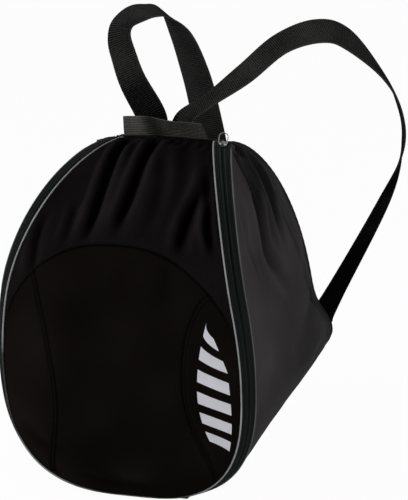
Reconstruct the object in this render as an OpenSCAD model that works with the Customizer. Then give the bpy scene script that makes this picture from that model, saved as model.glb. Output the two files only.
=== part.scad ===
// Skate backpack: a stuffed bag with an egg-shaped front panel that zips open and turns up on the ridge seam.
// Millimetres, +Z up, front towards -Y, origin on the floor under the centre of the base.

/* [Front panel] */
// Height of the ridge seam above the floor
ridge_h = 341; // [320:1:360]
// Distance of the ridge seam in front of the base centre
ridge_fwd = 12; // [6:1:20]
// Length of the ridge seam between the two zip ends
ridge_len = 96; // [84:1:110]
// Greatest width of the front panel
panel_w = 240; // [220:1:260]
// Height of the widest place of the front panel
wide_h = 140; // [125:1:155]
// Height at which the front rim reaches furthest forward
belly_h = 214; // [200:1:228]
// Reach of the front rim there, in front of the base centre
belly_fwd = 177; // [165:1:190]
// Reach of the front rim at its lowest point, in front of the base centre
toe_fwd = 136; // [128:1:144]
// Height of the front rim at its lowest point
toe_h = 5; // [4.5:0.5:9]
// Crown of the stuffed front panel over its rim
panel_crown = 24; // [12:1:32]
// Height of the arch seam at its crown
arch_h = 259; // [242:1:276]
// Height at which the arch seam meets the rim
arch_foot_h = 160; // [148:1:172]
// Half width of the centre panel at its waist, as a share of the half panel
waist_share = 0.552; // [0.47:0.002:0.63]
// Width of each sewn seam
seam_w = 4; // [3:0.5:6]

/* [Zip] */
// Width of the zip band between the two pipings
band_w = 20; // [18:0.5:24]
// Diameter of the reflective piping
piping_d = 3.2; // [2.4:0.2:4]
// Thickness of the zip tape
tape_t = 1; // [0.8:0.1:1.4]
// Width of one half of the zip chain
chain_half_w = 2.6; // [2:0.1:3.2]
// Thickness of the zip chain
chain_t = 2.2; // [1.8:0.1:2.6]
// Gap between the halves of the chain
chain_gap = 1.6; // [1.4:0.1:2]
// Length of the slider
slider_l = 12; // [10:0.5:15]
// Width of the slider
slider_w = 9; // [8:0.5:10.5]
// Diameter of the wire in the pull loop
wire_d = 1; // [0.8:0.1:1.3]
// Length of the pull loop
pull_l = 11; // [9:0.5:14]
// Width of the pull loop
pull_w = 8.8; // [7:0.2:10]

/* [Back, sides and base] */
// Greatest width of the back panel
back_w = 212; // [200:1:224]
// Height of the widest place of the back panel
back_wide_h = 115; // [105:1:125]
// Reach of the back panel behind the base centre
heel_back = 180; // [170:1:190]
// Height at which the back panel reaches furthest back
heel_h = 108; // [95:1:120]
// Reach of the back panel at the floor, behind the base centre
floor_back = 140; // [130:1:150]
// Width of the back panel at the ridge
back_top_w = 116; // [108:1:126]
// Outward pull of each strap on the lower corner of the back
corner_pull = 18; // [10:1:22]
// Height of the pulled corner
corner_h = 100; // [90:1:110]
// Outward swell of each gusset
gusset_crown = 12; // [6:1:16]
// Outward swell of the back panel
back_crown = 6; // [2:1:10]
// Thickness of the padded cloth
cloth_t = 2; // [1.5:0.1:2.5]
// Width of the flat base
base_w = 100; // [90:1:112]
// Thickness of the base panel
base_t = 2.4; // [2:0.1:3]

/* [Webbing] */
// Width of the shoulder straps
strap_w = 32; // [28:1:36]
// Thickness of the webbing
strap_t = 2; // [1.6:0.1:2.4]
// Width of the grab handle
handle_w = 19; // [17:1:22]
// Clear gap between the crown of the grab handle and the ridge
handle_rise = 4; // [3.5:0.5:6]
// Reach of the corner tabs that hold the straps
tab_reach = 16; // [12:1:20]

/* [Hidden] */

// Clearances between sewn neighbours, and between pieces that turn past each other
sewn_gap = 0.35;
turn_gap = 0.5;

// Powers of the rounded outlines: seen from the front below and above the widest place,
// and seen from the side below and above the furthest reach
front_powers = [2.8, 1.72, 1.4, 1.9];
back_powers = [2.5, 1.75, 2.2, 1.6];

// Rolled seam on which the front panel turns
roll_d = 4;
hinge_y = -ridge_fwd;
hinge_z = ridge_h - cloth_t / 2;
panel_top_y = hinge_y - roll_d / 2 - turn_gap;

// Share of the band's width that goes sideways and backwards at the belly, and its drop at the ridge
band_side = 0.5;
band_back = 0.8;
band_top = 0.9;
band_drop = 3;
toe_drop = 1.4;
toe_back = 0.7;

// A rim is [lowest, top, widest and furthest height, half widths at the widest place and at the top,
// Y at the furthest place, at the lowest and at the top, powers, pull of a strap]
// A pull is [outward, backward, height, spread of height]
no_pull = [0, 0, 0, 1];
pull_back_share = 0.45;
pull_spread = 28;
strap_pull = [corner_pull, pull_back_share * corner_pull, corner_h, pull_spread];
front_rim = [toe_h, ridge_h, wide_h, belly_h, panel_w / 2, ridge_len / 2, -belly_fwd, -toe_fwd,
    panel_top_y, front_powers, no_pull];
outer_rim = [toe_h - toe_drop, ridge_h - band_drop, wide_h + band_drop, belly_h + 2 * band_drop,
    panel_w / 2 + band_side * band_w, ridge_len / 2 + band_top * band_w, band_back * band_w - belly_fwd,
    toe_back * band_w - toe_fwd, hinge_y, front_powers, no_pull];
back_rim = [toe_h - toe_drop, ridge_h - band_drop, back_wide_h, heel_h, back_w / 2, back_top_w / 2,
    heel_back, floor_back, 0, back_powers, strap_pull];

function unit(v) = v / norm(v);
function mix(a, b, t) = a + (b - a) * t;
function clamp(v, low, high) = min(max(v, low), high);
function ease(v) = let(t = clamp(v, 0, 1)) t * t * (3 - 2 * t);
function rounded(v, p) = pow(1 - pow(clamp(v, 0, 1), p), 1 / p);

// Height along a rim, from its lowest point at s = 0 to its top at s = 1, and the share for a height
function rim_z(r, s) = mix(r[0], r[1], (1 - cos(180 * s)) / 2);
function rim_s(r, z) = acos(clamp(1 - 2 * (z - r[0]) / (r[1] - r[0]), -1, 1)) / 180;
function pulled(r, z) = exp(-pow((z - r[10][2]) / r[10][3], 2));
function rim_half(r, z) = r[10][0] * pulled(r, z) + (z < r[2]
    ? r[4] * rounded((r[2] - z) / (r[2] - r[0]), r[9][0])
    : mix(r[5], r[4], rounded((z - r[2]) / (r[1] - r[2]), r[9][1])));
function rim_y(r, z) = r[10][1] * pulled(r, z) + (z < r[3]
    ? mix(r[7], r[6], rounded((r[3] - z) / (r[3] - r[0]), r[9][2]))
    : mix(r[8], r[6], rounded((z - r[3]) / (r[1] - r[3]), r[9][3])));

// Point of a rim: u runs from -1 at the top left, round the bottom at 0, to 1 at the top right
function rim_at(r, u) = let(z = rim_z(r, abs(u))) [sign(u) * rim_half(r, z), rim_y(r, z), z];

// Direction of a rim at s, and the half width of a panel sewn inside it
profile_step = 0.01;
panel_edge = piping_d / 2 + sewn_gap;
function rim_run(r, s) = unit(rim_at(r, min(s + profile_step, 1)) - rim_at(r, max(s - profile_step, 0)));
function panel_half(r, s) = max(rim_at(r, s)[0] - panel_edge / norm(cross([1, 0, 0], rim_run(r, s))), 1);

// Stuffed front panel: s is the height share, t runs across from -1 to 1
function profile_out(r, s) = let(
    a = rim_at(r, clamp(s, profile_step, 1 - profile_step) - profile_step),
    b = rim_at(r, clamp(s, profile_step, 1 - profile_step) + profile_step),
    d = unit([0, b[1] - a[1], b[2] - a[2]])) [0, -d[2], d[1]];
panel_foot_s = 0.065;
crown_power = 2.2;
crown_taper = 0.85;
function front_at(s, t) = let(
    p = rim_at(front_rim, s),
    rise = clamp((s - panel_foot_s) / (1 - panel_foot_s), 0, 1),
    crown = panel_crown * pow(max(0, sin(180 * rise)), crown_taper) * (1 - pow(abs(t), crown_power)))
    [t * panel_half(front_rim, s), p[1], p[2]] + crown * profile_out(front_rim, s);

// Seams of the front panel, as shares of it: the arch under the yoke, and the side seams from the arch to the
// rim. A side seam is [height share of its waist, bow above it, bow below it, lean of the waist]
arch_power = 2.6;
function arch_s(t) = rim_s(front_rim, mix(arch_foot_h, arch_h, rounded(abs(t), arch_power)));
right_seam = [0.63, 2.1, 2.9, 0.025];
left_seam = [0.575, 1.4, 2.7, -0.025];
function side_t(q, v) = waist_share + q[3] + (v > q[0] ? q[1] : q[2]) * pow(v - q[0], 2);
function side_v(q, t) = q[0] - sqrt((t - waist_share - q[3]) / q[2]);
seam_room = seam_w / 2 + sewn_gap;

// Shares that keep the cloth clear of a seam: s beside the arch seam at t, t beside a side seam at v
function clear_of(run, way) = seam_room * 2 * profile_step / norm(cross(unit(run), way));
most_clear_s = 0.03;
function arch_clear(t) = let(
    a = max(t - profile_step, -1),
    b = min(t + profile_step, 1),
    s = arch_s(t))
    min(most_clear_s, clear_of(front_at(arch_s(b), b) - front_at(arch_s(a), a),
        front_at(s + profile_step, t) - front_at(s - profile_step, t)));

// Height share on the lower front panel: v rises from the toe to the arch seam at any t
function lower_s(v, t) = mix(panel_foot_s, arch_s(t) - arch_clear(t), v);
function lower_at(v, t) = front_at(lower_s(v, t), t);
function side_clear(q, v) = let(
    a = max(v - profile_step, 0),
    b = min(v + profile_step, 1),
    t = side_t(q, v))
    clear_of(lower_at(b, side_t(q, b)) - lower_at(a, side_t(q, a)),
        lower_at(v, t + profile_step) - lower_at(v, t - profile_step));

// Swollen gusset between the outer piping and the back seam: s is the height share, t runs backwards
swell_from = 0.2;
swell_span = 0.3;
function gusset_at(s, t) = let(
    a = rim_at(outer_rim, s),
    b = rim_at(back_rim, s),
    swell = gusset_crown * 4 * t * (1 - t) * ease((s - swell_from) / swell_span) * ease((1 - s) / swell_span))
    mix(a, b, t) + [swell, 0, 0];
function gusset_edge(r, s) =
    panel_edge / norm(cross(rim_at(back_rim, s) - rim_at(outer_rim, s), rim_run(r, s)));

// Back panel: s is the height share, t runs across from -1 to 1
function back_at(s, t) = let(p = rim_at(back_rim, s))
    [t * panel_half(back_rim, s), p[1] + back_crown * sin(180 * s) * (1 - t * t), p[2]];

// Lowest share of the gussets and the back panel, where the flat base takes over
search_steps = 24;
base_edge_z = function(r) search_half(r, base_w / 2, r[0], r[2], search_steps);
function search_half(r, half, low, high, n) = n == 0 ? (low + high) / 2
    : let(z = (low + high) / 2)
    rim_half(r, z) < half ? search_half(r, half, z, high, n - 1) : search_half(r, half, low, z, n - 1);
front_base_s = rim_s(outer_rim, base_edge_z(outer_rim));
back_base_s = rim_s(back_rim, base_edge_z(back_rim));
base_front_y = outer_rim[7] + panel_edge;
base_back_y = back_rim[7] - panel_edge;

// Closed solid between two grids of points, `face` being the outer one
module shell(face, under) {
    a_steps = len(face) - 1;
    b_steps = len(face[0]) - 1;
    row = b_steps + 1;
    count = (a_steps + 1) * row;
    top_faces = [for (i = [0:a_steps - 1]) for (j = [0:b_steps - 1]) let(p = i * row + j)
        each [[p, p + 1, p + row + 1], [p, p + row + 1, p + row]]];
    low_faces = [for (f = top_faces) [f[0] + count, f[2] + count, f[1] + count]];
    a_edges = [for (i = [0:a_steps - 1]) let(p = i * row, q = p + b_steps)
        each [[p, p + row, p + row + count], [p, p + row + count, p + count],
            [q + row, q, q + count], [q + row, q + count, q + row + count]]];
    b_edges = [for (j = [0:b_steps - 1]) let(p = j, q = a_steps * row + j)
        each [[p + 1, p, p + count], [p + 1, p + count, p + 1 + count],
            [q, q + 1, q + 1 + count], [q, q + 1 + count, q + count]]];
    polyhedron(points = [for (g = [face, under]) for (r = g) each r],
        faces = concat(top_faces, low_faces, a_edges, b_edges));
}

// Points of f(a, b) over the unit square
function grid(f, a_steps, b_steps) =
    [for (i = [0:a_steps]) [for (j = [0:b_steps]) f(i / a_steps, j / b_steps)]];

// Solid of thickness t under the face f(a, b), where the a and b directions turn to the outside
module slab(f, a_steps, b_steps, t) {
    face = grid(f, a_steps, b_steps);
    under = [for (i = [0:a_steps]) [for (j = [0:b_steps]) let(
        da = face[min(i + 1, a_steps)][j] - face[max(i - 1, 0)][j],
        db = face[i][min(j + 1, b_steps)] - face[i][max(j - 1, 0)])
        face[i][j] - t * unit(cross(da, db))]];
    shell(face, under);
}

// Cloth of the front panel, where st(a, b) gives its height share and its place across
function front_out(s, t) = let(m = clamp(s, panel_foot_s + 2 * profile_step, 1 - 2 * profile_step))
    unit(cross(front_at(m, t + profile_step) - front_at(m, t - profile_step),
        front_at(m + profile_step, t) - front_at(m - profile_step, t)));
module front_cloth(st, a_steps, b_steps) {
    face = function(a, b) let(p = st(a, b)) front_at(p[0], p[1]);
    under = function(a, b) let(p = st(a, b)) front_at(p[0], p[1]) - cloth_t * front_out(p[0], p[1]);
    color(cloth_black) shell(grid(face, a_steps, b_steps), grid(under, a_steps, b_steps));
}

// Closed solid through a list of rings with the same number of points
module loft(rings) {
    n = len(rings[0]);
    last = len(rings) - 1;
    walls = [for (k = [0:last - 1]) for (j = [0:n - 1]) let(
        p = k * n + j,
        q = k * n + (j + 1) % n)
        each [[p, p + n, q + n], [p, q + n, q]]];
    ends = [[for (j = [0:n - 1]) j], [for (j = [n - 1:-1:0]) last * n + j]];
    polyhedron(points = [for (r = rings) each r], faces = concat(walls, ends));
}

// Cross-sections, counter-clockwise
function box_section(x0, x1, y0, y1) = [[x0, y0], [x1, y0], [x1, y1], [x0, y1]];
function round_section(d, n) = [for (i = [0:n - 1]) d / 2 * [cos(360 * i / n), sin(360 * i / n)]];

// Frame of the zip band at u: middle, width direction, outside, half width, and the run towards the top left
band_step = 0.004;
function band_mid(u) = (rim_at(front_rim, u) + rim_at(outer_rim, u)) / 2;
function band_frame(u) = let(
    a = rim_at(front_rim, u),
    b = rim_at(outer_rim, u),
    across = unit(b - a),
    run = unit(band_mid(max(u - band_step, -1)) - band_mid(min(u + band_step, 1))))
    [(a + b) / 2, across, unit(cross(run, across)), norm(b - a) / 2, run];

// Sweep along the whole band: section(frame) gives points across and out from the band's middle
band_rings = 56;
module along_band(section) {
    loft([for (k = [0:band_rings]) let(f = band_frame(1 - 2 * k / band_rings))
        [for (p = section(f[3])) f[0] + p[0] * f[1] + p[1] * f[2]]]);
}

// Sweep round section d along a list of points, with its sides turned to `across`
module cord_sweep(points, across, d, sides) {
    last = len(points) - 1;
    loft([for (k = [0:last]) let(
        run = unit(points[min(k + 1, last)] - points[max(k - 1, 0)]),
        side = unit(across - (across * run) * run),
        out = cross(run, side))
        [for (p = round_section(d, sides)) points[k] + p[0] * side + p[1] * out]]);
}

// Smooth curve through a list of points
function curve_at(points, t) = let(
    n = len(points) - 1,
    i = min(floor(t * n), n - 1),
    f = t * n - i,
    p1 = points[i],
    p2 = points[i + 1],
    p0 = i > 0 ? points[i - 1] : 2 * p1 - p2,
    p3 = i < n - 1 ? points[i + 2] : 2 * p2 - p1)
    p1 + 0.5 * f * ((p2 - p0) + f * ((2 * p0 - 5 * p1 + 4 * p2 - p3) + f * (3 * (p1 - p2) + p3 - p0)));

// Webbing along a route, drawn in at both ends: each entry of `turns` is the way its width runs there
end_share = 0.4;
end_span = 0.04;
module webbing(route, turns, steps) {
    loft([for (k = [0:steps]) let(
        t = k / steps,
        run = unit(curve_at(route, min(t + 0.5 / steps, 1)) - curve_at(route, max(t - 0.5 / steps, 0))),
        hint = curve_at(turns, t),
        across = unit(hint - (hint * run) * run),
        out = cross(run, across),
        half = strap_w / 2 * mix(end_share, 1, ease(min(t, 1 - t) / end_span)))
        [for (p = box_section(-half, half, -strap_t / 2, strap_t / 2))
            curve_at(route, t) + p[0] * across + p[1] * out]]);
}

// Colours
cloth_black = "#1d1b1b";
cloth_grey = "#3a3a3d";
tape_black = "#24272b";
webbing_black = "#26272a";
piping_grey = "#c9ccd0";
nickel = "#b9b7b0";

// Front panel, with the rows and columns of its faces
yoke_rows = 16;
yoke_cols = 28;
lower_rows = 20;
centre_cols = 14;
side_cols = 8;
side_tip_t = 0.91;
side_most_t = 0.97;
module front_yoke() {
    front_cloth(function(a, b) let(t = sin(90 - 180 * b)) [mix(arch_s(t) + arch_clear(t), 1, a), t],
        yoke_rows, yoke_cols);
}

function centre_edge(q, v) = min(side_t(q, v) - side_clear(q, v), 1);
module front_centre_panel() {
    front_cloth(function(a, b) let(t = mix(centre_edge(right_seam, a), -centre_edge(left_seam, a), b))
        [lower_s(a, t), t], lower_rows, centre_cols);
}

module front_side(q) {
    front_cloth(function(a, b) let(
        v = mix(side_v(q, side_tip_t), 1, a),
        t = mix(1, min(side_t(q, v) + side_clear(q, v), side_most_t), b)) [lower_s(v, t), t],
        lower_rows, side_cols);
}

module front_side_right() {
    front_side(right_seam);
}

module front_side_left() {
    mirror([1, 0, 0]) front_side(left_seam);
}

// Sewn seam along a curve of the front panel, standing a little proud
seam_proud = 0.4;
arch_end_t = 0.975;
side_end_t = 0.955;
side_top_v = 0.975;
module seam(curve, steps) {
    color(cloth_black) loft([for (k = [0:steps]) let(
        st = curve(k / steps),
        p = front_at(st[0], st[1]),
        before = curve(max(k - 0.5, 0) / steps),
        after = curve(min(k + 0.5, steps) / steps),
        run = unit(front_at(after[0], after[1]) - front_at(before[0], before[1])),
        out = front_out(st[0], st[1]),
        across = unit(cross(out, run)))
        [for (q = box_section(-seam_w / 2, seam_w / 2, -cloth_t, seam_proud))
            p + q[0] * across + q[1] * out]]);
}

module arch_seam() {
    seam(function(v) let(t = arch_end_t * sin(90 - 180 * v)) [arch_s(t), t], yoke_cols);
}

module side_seam(q) {
    seam(function(a) let(v = mix(side_v(q, side_end_t), side_top_v, a), t = side_t(q, v)) [lower_s(v, t), t],
        lower_rows);
}

module side_seam_right() {
    side_seam(right_seam);
}

module side_seam_left() {
    mirror([1, 0, 0]) side_seam(left_seam);
}

// Zip and pipings
cord_sides = 6;
chain_in = chain_gap / 2;
chain_out = chain_gap / 2 + chain_half_w;
tape_out = chain_out + sewn_gap;

module inner_piping() {
    color(piping_grey) along_band(function(h) [for (p = round_section(piping_d, cord_sides)) p - [h, 0]]);
}

module outer_piping() {
    color(piping_grey) along_band(function(h) [for (p = round_section(piping_d, cord_sides)) p + [h, 0]]);
}

module zip_tape_inner() {
    color(tape_black) along_band(function(h) box_section(panel_edge - h, -tape_out, -tape_t / 2, tape_t / 2));
}

module zip_tape_outer() {
    color(tape_black) along_band(function(h) box_section(tape_out, h - panel_edge, -tape_t / 2, tape_t / 2));
}

module zip_chain_inner() {
    color(tape_black) along_band(function(h) box_section(-chain_out, -chain_in, -chain_t / 2, chain_t / 2));
}

module zip_chain_outer() {
    color(tape_black) along_band(function(h) box_section(chain_in, chain_out, -chain_t / 2, chain_t / 2));
}

// Place children on the zip: X across to the gusset side, Y along the run up to the ridge, Z outwards
module on_band(u) {
    f = band_frame(u);
    y = -f[4];
    z = f[2];
    x = cross(y, z);
    multmatrix([for (i = [0:2]) [x[i], y[i], z[i], f[0][i]]]) children();
}

stop_l = 3;
stop_proud = 0.5;
stop_t = chain_t + 2 * stop_proud;
module zip_stops() {
    color(nickel) {
        stop_end();
        mirror([1, 0, 0]) stop_end();
    }
}

module stop_end() {
    on_band(1) translate([chain_in, sewn_gap, -stop_t / 2]) cube([chain_half_w, stop_l, stop_t]);
}

// Slider: full top plate, lower plate under the panel side, nose between the halves of the chain
slider_s = 0.972;
plate_t = 1.3;
plate_z = chain_t / 2 + turn_gap;
nose_room = 0.4;
nose_w = chain_gap - 2 * nose_room;
nose_l = 2.4;
nose_inset = 1;
eye_room = 0.35;
eye_r = wire_d / 2 + eye_room;
eye_wall = 1.1;
eye_z = plate_z + plate_t + eye_r + turn_gap;
bridge_w = 2.6;

// Shield outline of a slider plate, wide at the nose and drawn in at the tail
plate_points = 36;
tail_share = 0.72;
plate_power = 0.5;
module plate_outline() {
    polygon([for (i = [0:plate_points - 1]) let(
        a = 360 * i / plate_points,
        y = slider_l / 2 * sin(a),
        flare = mix(tail_share, 1, (sin(a) + 1) / 2),
        x = slider_w / 2 * flare * sign(cos(a)) * pow(abs(cos(a)), plate_power)) [x, y]]);
}

module zip_slider() {
    color(nickel) on_band(slider_s) union() {
        translate([0, 0, plate_z]) linear_extrude(plate_t) plate_outline();
        translate([0, 0, -plate_z - plate_t]) linear_extrude(plate_t) intersection() {
            plate_outline();
            translate([-slider_w, -slider_l]) square([slider_w + nose_w / 2, 2 * slider_l]);
        }
        translate([-nose_w / 2, slider_l / 2 - nose_inset - nose_l, -plate_z - plate_t / 2])
            cube([nose_w, nose_l, 2 * plate_z + plate_t]);
        bridge();
    }
}

// Bridge over the plate, with the eye that the pull loop turns in
module bridge() {
    foot = eye_r + eye_wall;
    translate([-bridge_w / 2, 0, 0]) rotate([90, 0, 90]) linear_extrude(bridge_w) difference() {
        union() {
            translate([0, eye_z]) circle(r = foot, $fn = 40);
            translate([-foot, plate_z + plate_t / 2]) square([2 * foot, eye_z - plate_z - plate_t / 2]);
        }
        translate([0, eye_z]) circle(r = eye_r, $fn = 40);
    }
}

// Pull: an oval loop of wire through the bridge, at rest standing up towards the ridge
pull_lean = 50;
module zip_pull() {
    half = pull_w / 2;
    leg = pull_l - half;
    color(nickel) on_band(slider_s) translate([0, 0, eye_z]) rotate([pull_lean, 0, 0]) union() {
        translate([-half, 0, 0]) rotate([0, 90, 0]) cylinder(d = wire_d, h = pull_w, $fn = 24);
        for (x = [-half, half]) {
            translate([x, 0, 0]) rotate([-90, 0, 0]) cylinder(d = wire_d, h = leg, $fn = 24);
            translate([x, 0, 0]) sphere(d = wire_d, $fn = 24);
        }
        translate([0, leg, 0]) rotate_extrude(angle = 180, $fn = 48)
            translate([half, 0]) circle(d = wire_d, $fn = 24);
    }
}

// Gussets: the lowest row comes down outside the edge of the flat base
gusset_rows = 24;
gusset_cols = 9;
foot_x = base_w / 2 + cloth_t + sewn_gap;
foot_ease = 0.15;
function gusset_foot(t) = let(
    p = gusset_at(mix(front_base_s, back_base_s, t), t),
    drop = ease(t / foot_ease) * ease((1 - t) / foot_ease))
    [foot_x, p[1], mix(p[2], base_t / 2, drop)];
function gusset_face(a, b) = let(
    low = mix(front_base_s, back_base_s, 1 - b),
    s = mix(low, 1, (a * gusset_rows - 1) / (gusset_rows - 1)),
    t = mix(gusset_edge(outer_rim, max(s, low)), 1 - gusset_edge(back_rim, max(s, low)), 1 - b),
    p = gusset_at(s, t))
    a == 0 ? gusset_foot(t) : [max(p[0], foot_x), p[1], p[2]];

module gusset_right() {
    color(cloth_grey) slab(function(a, b) gusset_face(a, b), gusset_rows, gusset_cols, cloth_t);
}

module gusset_left() {
    mirror([1, 0, 0]) gusset_right();
}

// Base: a flat panel whose lips rise to the outer piping in front and to the back panel behind
lip_rows = 2;
lip_cols = 12;
module front_lip() {
    slab(function(a, b) let(
        edge = rim_at(outer_rim, mix(front_base_s, -front_base_s, b)) + [0, panel_edge, 0],
        flat = [edge[0], base_front_y + base_t, base_t / 2])
        mix(flat, edge, a), lip_rows, lip_cols, base_t / 2);
}

module back_lip() {
    slab(function(a, b) let(
        over = back_at(back_base_s, 2 * b - 1),
        flat = [(2 * b - 1) * base_w / 2, base_back_y - base_t, base_t / 2],
        edge = [flat[0], over[1] - base_t / 2, over[2] - base_t / 2])
        mix(flat, edge, a), lip_rows, lip_cols, base_t / 2);
}

module base_panel() {
    color(cloth_grey) union() {
        translate([-base_w / 2, base_front_y, 0]) cube([base_w, base_back_y - base_front_y, base_t]);
        front_lip();
        back_lip();
    }
}

back_rows = 18;
back_cols = 12;
module back_panel() {
    color(cloth_black)
    slab(function(a, b) back_at(mix(back_base_s, 1, a), 2 * b - 1), back_rows, back_cols, cloth_t);
}

// Seam between each gusset and the back panel, from the base up to the ridge
seam_d = 2.6;
seam_rings = 24;
seam_side = [1, 0.6, 0];
module back_seam() {
    color(cloth_black) {
        back_seam_right();
        mirror([1, 0, 0]) back_seam_right();
    }
}

module back_seam_right() {
    cord_sweep([for (k = [0:seam_rings]) rim_at(back_rim, mix(back_base_s, 1, k / seam_rings))],
        seam_side, seam_d, cord_sides);
}

// Ridge
module ridge_roll() {
    l = ridge_len - piping_d - 2 * turn_gap;
    color(cloth_black) translate([-l / 2, hinge_y, hinge_z]) rotate([0, 90, 0])
        cylinder(d = roll_d, h = l, $fn = 40);
}

ridge_tape_y = hinge_y + roll_d / 2 + 0.8;
ridge_tape_z = ridge_h - band_drop - cloth_t / 2;
ridge_tape_half = back_top_w / 2 - 2 * cloth_t;
module ridge_tape() {
    color(webbing_black) translate([-ridge_tape_half, ridge_tape_y, ridge_tape_z])
        cube([2 * ridge_tape_half, -sewn_gap - ridge_tape_y, cloth_t]);
}

// Grab handle: a slack band across the ridge that turns on its sewn ends
handle_inset = 3;
handle_l = ridge_len - 2 * handle_inset;
tack_d = 2.8;
handle_y = ridge_tape_y + tack_d / 2 + sewn_gap;
handle_z = ridge_tape_z + cloth_t + tack_d / 2 + sewn_gap;
handle_x = -4;
tack_l = 4.5;
handle_rows = 2;
handle_cols = 12;
module grab_handle() {
    color(webbing_black) slab(function(a, b) let(v = 1 - 2 * b)
        [handle_x + v * handle_l / 2, handle_y - strap_t / 2,
            handle_z + a * handle_w + handle_rise * (1 - v * v)],
        handle_rows, handle_cols, strap_t);
}

module handle_tack(x) {
    color(webbing_black) translate([x, handle_y, handle_z]) rotate([0, 90, 0])
        cylinder(d = tack_d, h = tack_l, $fn = 32);
}

module handle_tack_right() {
    handle_tack(handle_x + handle_l / 2 + sewn_gap);
}

module handle_tack_left() {
    handle_tack(handle_x - handle_l / 2 - sewn_gap - tack_l);
}

// Patch on the back of the ridge that holds the upper ends of both straps
patch_half = 30;
patch_t = 2.5;
patch_low_s = 0.9;
patch_top_s = 0.99;
patch_out = unit([0, 0.35, 0.94]);
patch_rows = 4;
patch_cols = 6;
module strap_patch() {
    share = patch_half / (back_top_w / 2);
    color(webbing_black)
    slab(function(a, b) back_at(mix(patch_low_s, patch_top_s, a), share * (2 * b - 1))
        + (patch_t + sewn_gap) * patch_out, patch_rows, patch_cols, patch_t);
}

// Corner tabs on the back panel, each from a wide foot up to a tip as wide as the end of its strap
tab_foot_w = 40;
right_tab_foot = [0.85, -0.07, -0.44];
left_tab_foot = [0.93, 0.07, -0.4];
tab_share = 0.84;
tab_lift = 2.6;
tab_root = back_at(rim_s(back_rim, corner_h), tab_share) + [0, tab_lift, 0];
right_tab_out = unit([0.45, 0.35, 0.82]);
right_tab_turn = [0.48, 0.66, -0.55];
left_tab_out = unit([0.35, 0.3, 0.88]);
left_tab_turn = [0.92, 0, -0.37];
function flip(v) = [-v[0], v[1], v[2]];
right_tab_tip = tab_root + tab_reach * right_tab_out;
left_tab_tip = flip(tab_root) + tab_reach * left_tab_out;
tab_rings = 6;
module strap_tab(root, out, foot_turn, tip_turn) {
    loft([for (k = [0:tab_rings]) let(
        turn = mix(unit(foot_turn), unit(tip_turn), k / tab_rings),
        half = mix(tab_foot_w, end_share * strap_w, k / tab_rings) / 2,
        across = unit(turn - (turn * out) * out),
        up = cross(out, across))
        [for (p = box_section(-half, half, -strap_t / 2, strap_t / 2))
            root + tab_reach * k / tab_rings * out + p[0] * across + p[1] * up]]);
}

module strap_tab_right() {
    color(webbing_black) strap_tab(tab_root, right_tab_out, right_tab_foot, right_tab_turn);
}

module strap_tab_left() {
    color(webbing_black) strap_tab(flip(tab_root), left_tab_out, left_tab_foot, left_tab_turn);
}

// Shoulder straps: each route entry is a share of the way from root to tip, and an offset from that line
right_steps = 64;
left_steps = 80;
root_lift = [1, 3, 18];
left_rise = [-3, 3, 18];
tip_gap = 0.9;
tip_lead = 24;
right_root = [6, 15, ridge_h - 1.6];
left_root = [-24, 11.5, ridge_h];
right_tip = right_tab_tip + tip_gap * right_tab_out;
left_tip = left_tab_tip + tip_gap * left_tab_out;
function on_line(a, b, bend) = mix(a, b, bend[0]) + [bend[1], bend[2], bend[3]];

right_bends = [[0.06, 18, -1, 50], [0.12, 47, -1, 91], [0.19, 74, 1, 137],
    [0.29, 98, 4, 171], [0.41, 110, 5, 188], [0.53, 128, 9, 178], [0.63, 133, 11, 163],
    [0.73, 124, 9, 141], [0.84, 89, 9, 100]];
right_turns = [[1, 0, 0], [0.65, -0.7, -0.25], [0.45, -0.85, -0.25], [0.6, -0.7, -0.4], [0.6, -0.65, -0.45],
    [0.45, -0.6, -0.65], [0.15, -0.75, -0.6], [0.35, -0.9, -0.3], [0.4, -0.85, -0.3], [0.2, -0.9, -0.35],
    [-0.35, -0.95, -0.1], [-0.45, -0.9, 0.1], [-0.48, -0.66, 0.55]];

module strap_right() {
    bends = [for (b = right_bends) on_line(right_root, right_tip, b)];
    route = concat([right_root, right_root + root_lift], bends,
        [right_tip + tip_lead * right_tab_out, right_tip]);
    color(webbing_black) webbing(route, right_turns, right_steps);
}

// The left strap is thrown up over the ridge: offsets from its root, then places on the back panel
left_loop = [[-24, 8, 51], [-35, 12, 76], [-42, 18, 94], [-41, 26, 108], [-31, 38, 117],
    [-19, 50, 120], [-8, 64, 116], [6, 76, 93], [18, 82, 59], [29, 82, 21]];
left_back = [[0.2, 0.74], [0.02, 0.66], [-0.26, 0.57], [-0.54, 0.49]];
left_lift = 7;
left_out = [0, 0.8, 0.6];
left_turns = [[1, 0, 0], [0.9, 0.05, 0.4], [0.9, -0.15, 0.45], [0.85, -0.25, 0.4], [0.9, -0.35, 0.3],
    [0.9, -0.45, -0.05], [0.75, -0.55, -0.35], [0.7, -0.65, -0.3], [0.6, -0.8, -0.2], [0.85, -0.5, 0.2],
    [0.95, -0.2, 0.3], [1, 0, 0.2], [0.95, 0.1, -0.2], [0.85, 0.1, -0.45], [0.8, 0.05, -0.55],
    [0.85, 0, -0.45], [0.92, 0, -0.37], [0.92, 0, -0.37]];

module strap_left() {
    behind = [for (p = left_back) back_at(p[1], p[0]) + left_lift * left_out];
    route = concat([left_root, left_root + left_rise], [for (p = left_loop) left_root + p], behind,
        [left_tip + tip_lead * left_tab_out, left_tip]);
    color(webbing_black) webbing(route, left_turns, left_steps);
}

front_yoke();
front_centre_panel();
front_side_right();
front_side_left();
arch_seam();
side_seam_right();
side_seam_left();
inner_piping();
zip_tape_inner();
zip_chain_inner();
zip_slider();
zip_pull();
outer_piping();
zip_tape_outer();
zip_chain_outer();
zip_stops();
gusset_right();
gusset_left();
base_panel();
back_panel();
back_seam();
ridge_roll();
ridge_tape();
grab_handle();
handle_tack_right();
handle_tack_left();
strap_patch();
strap_tab_right();
strap_tab_left();
strap_right();
strap_left();
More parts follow.
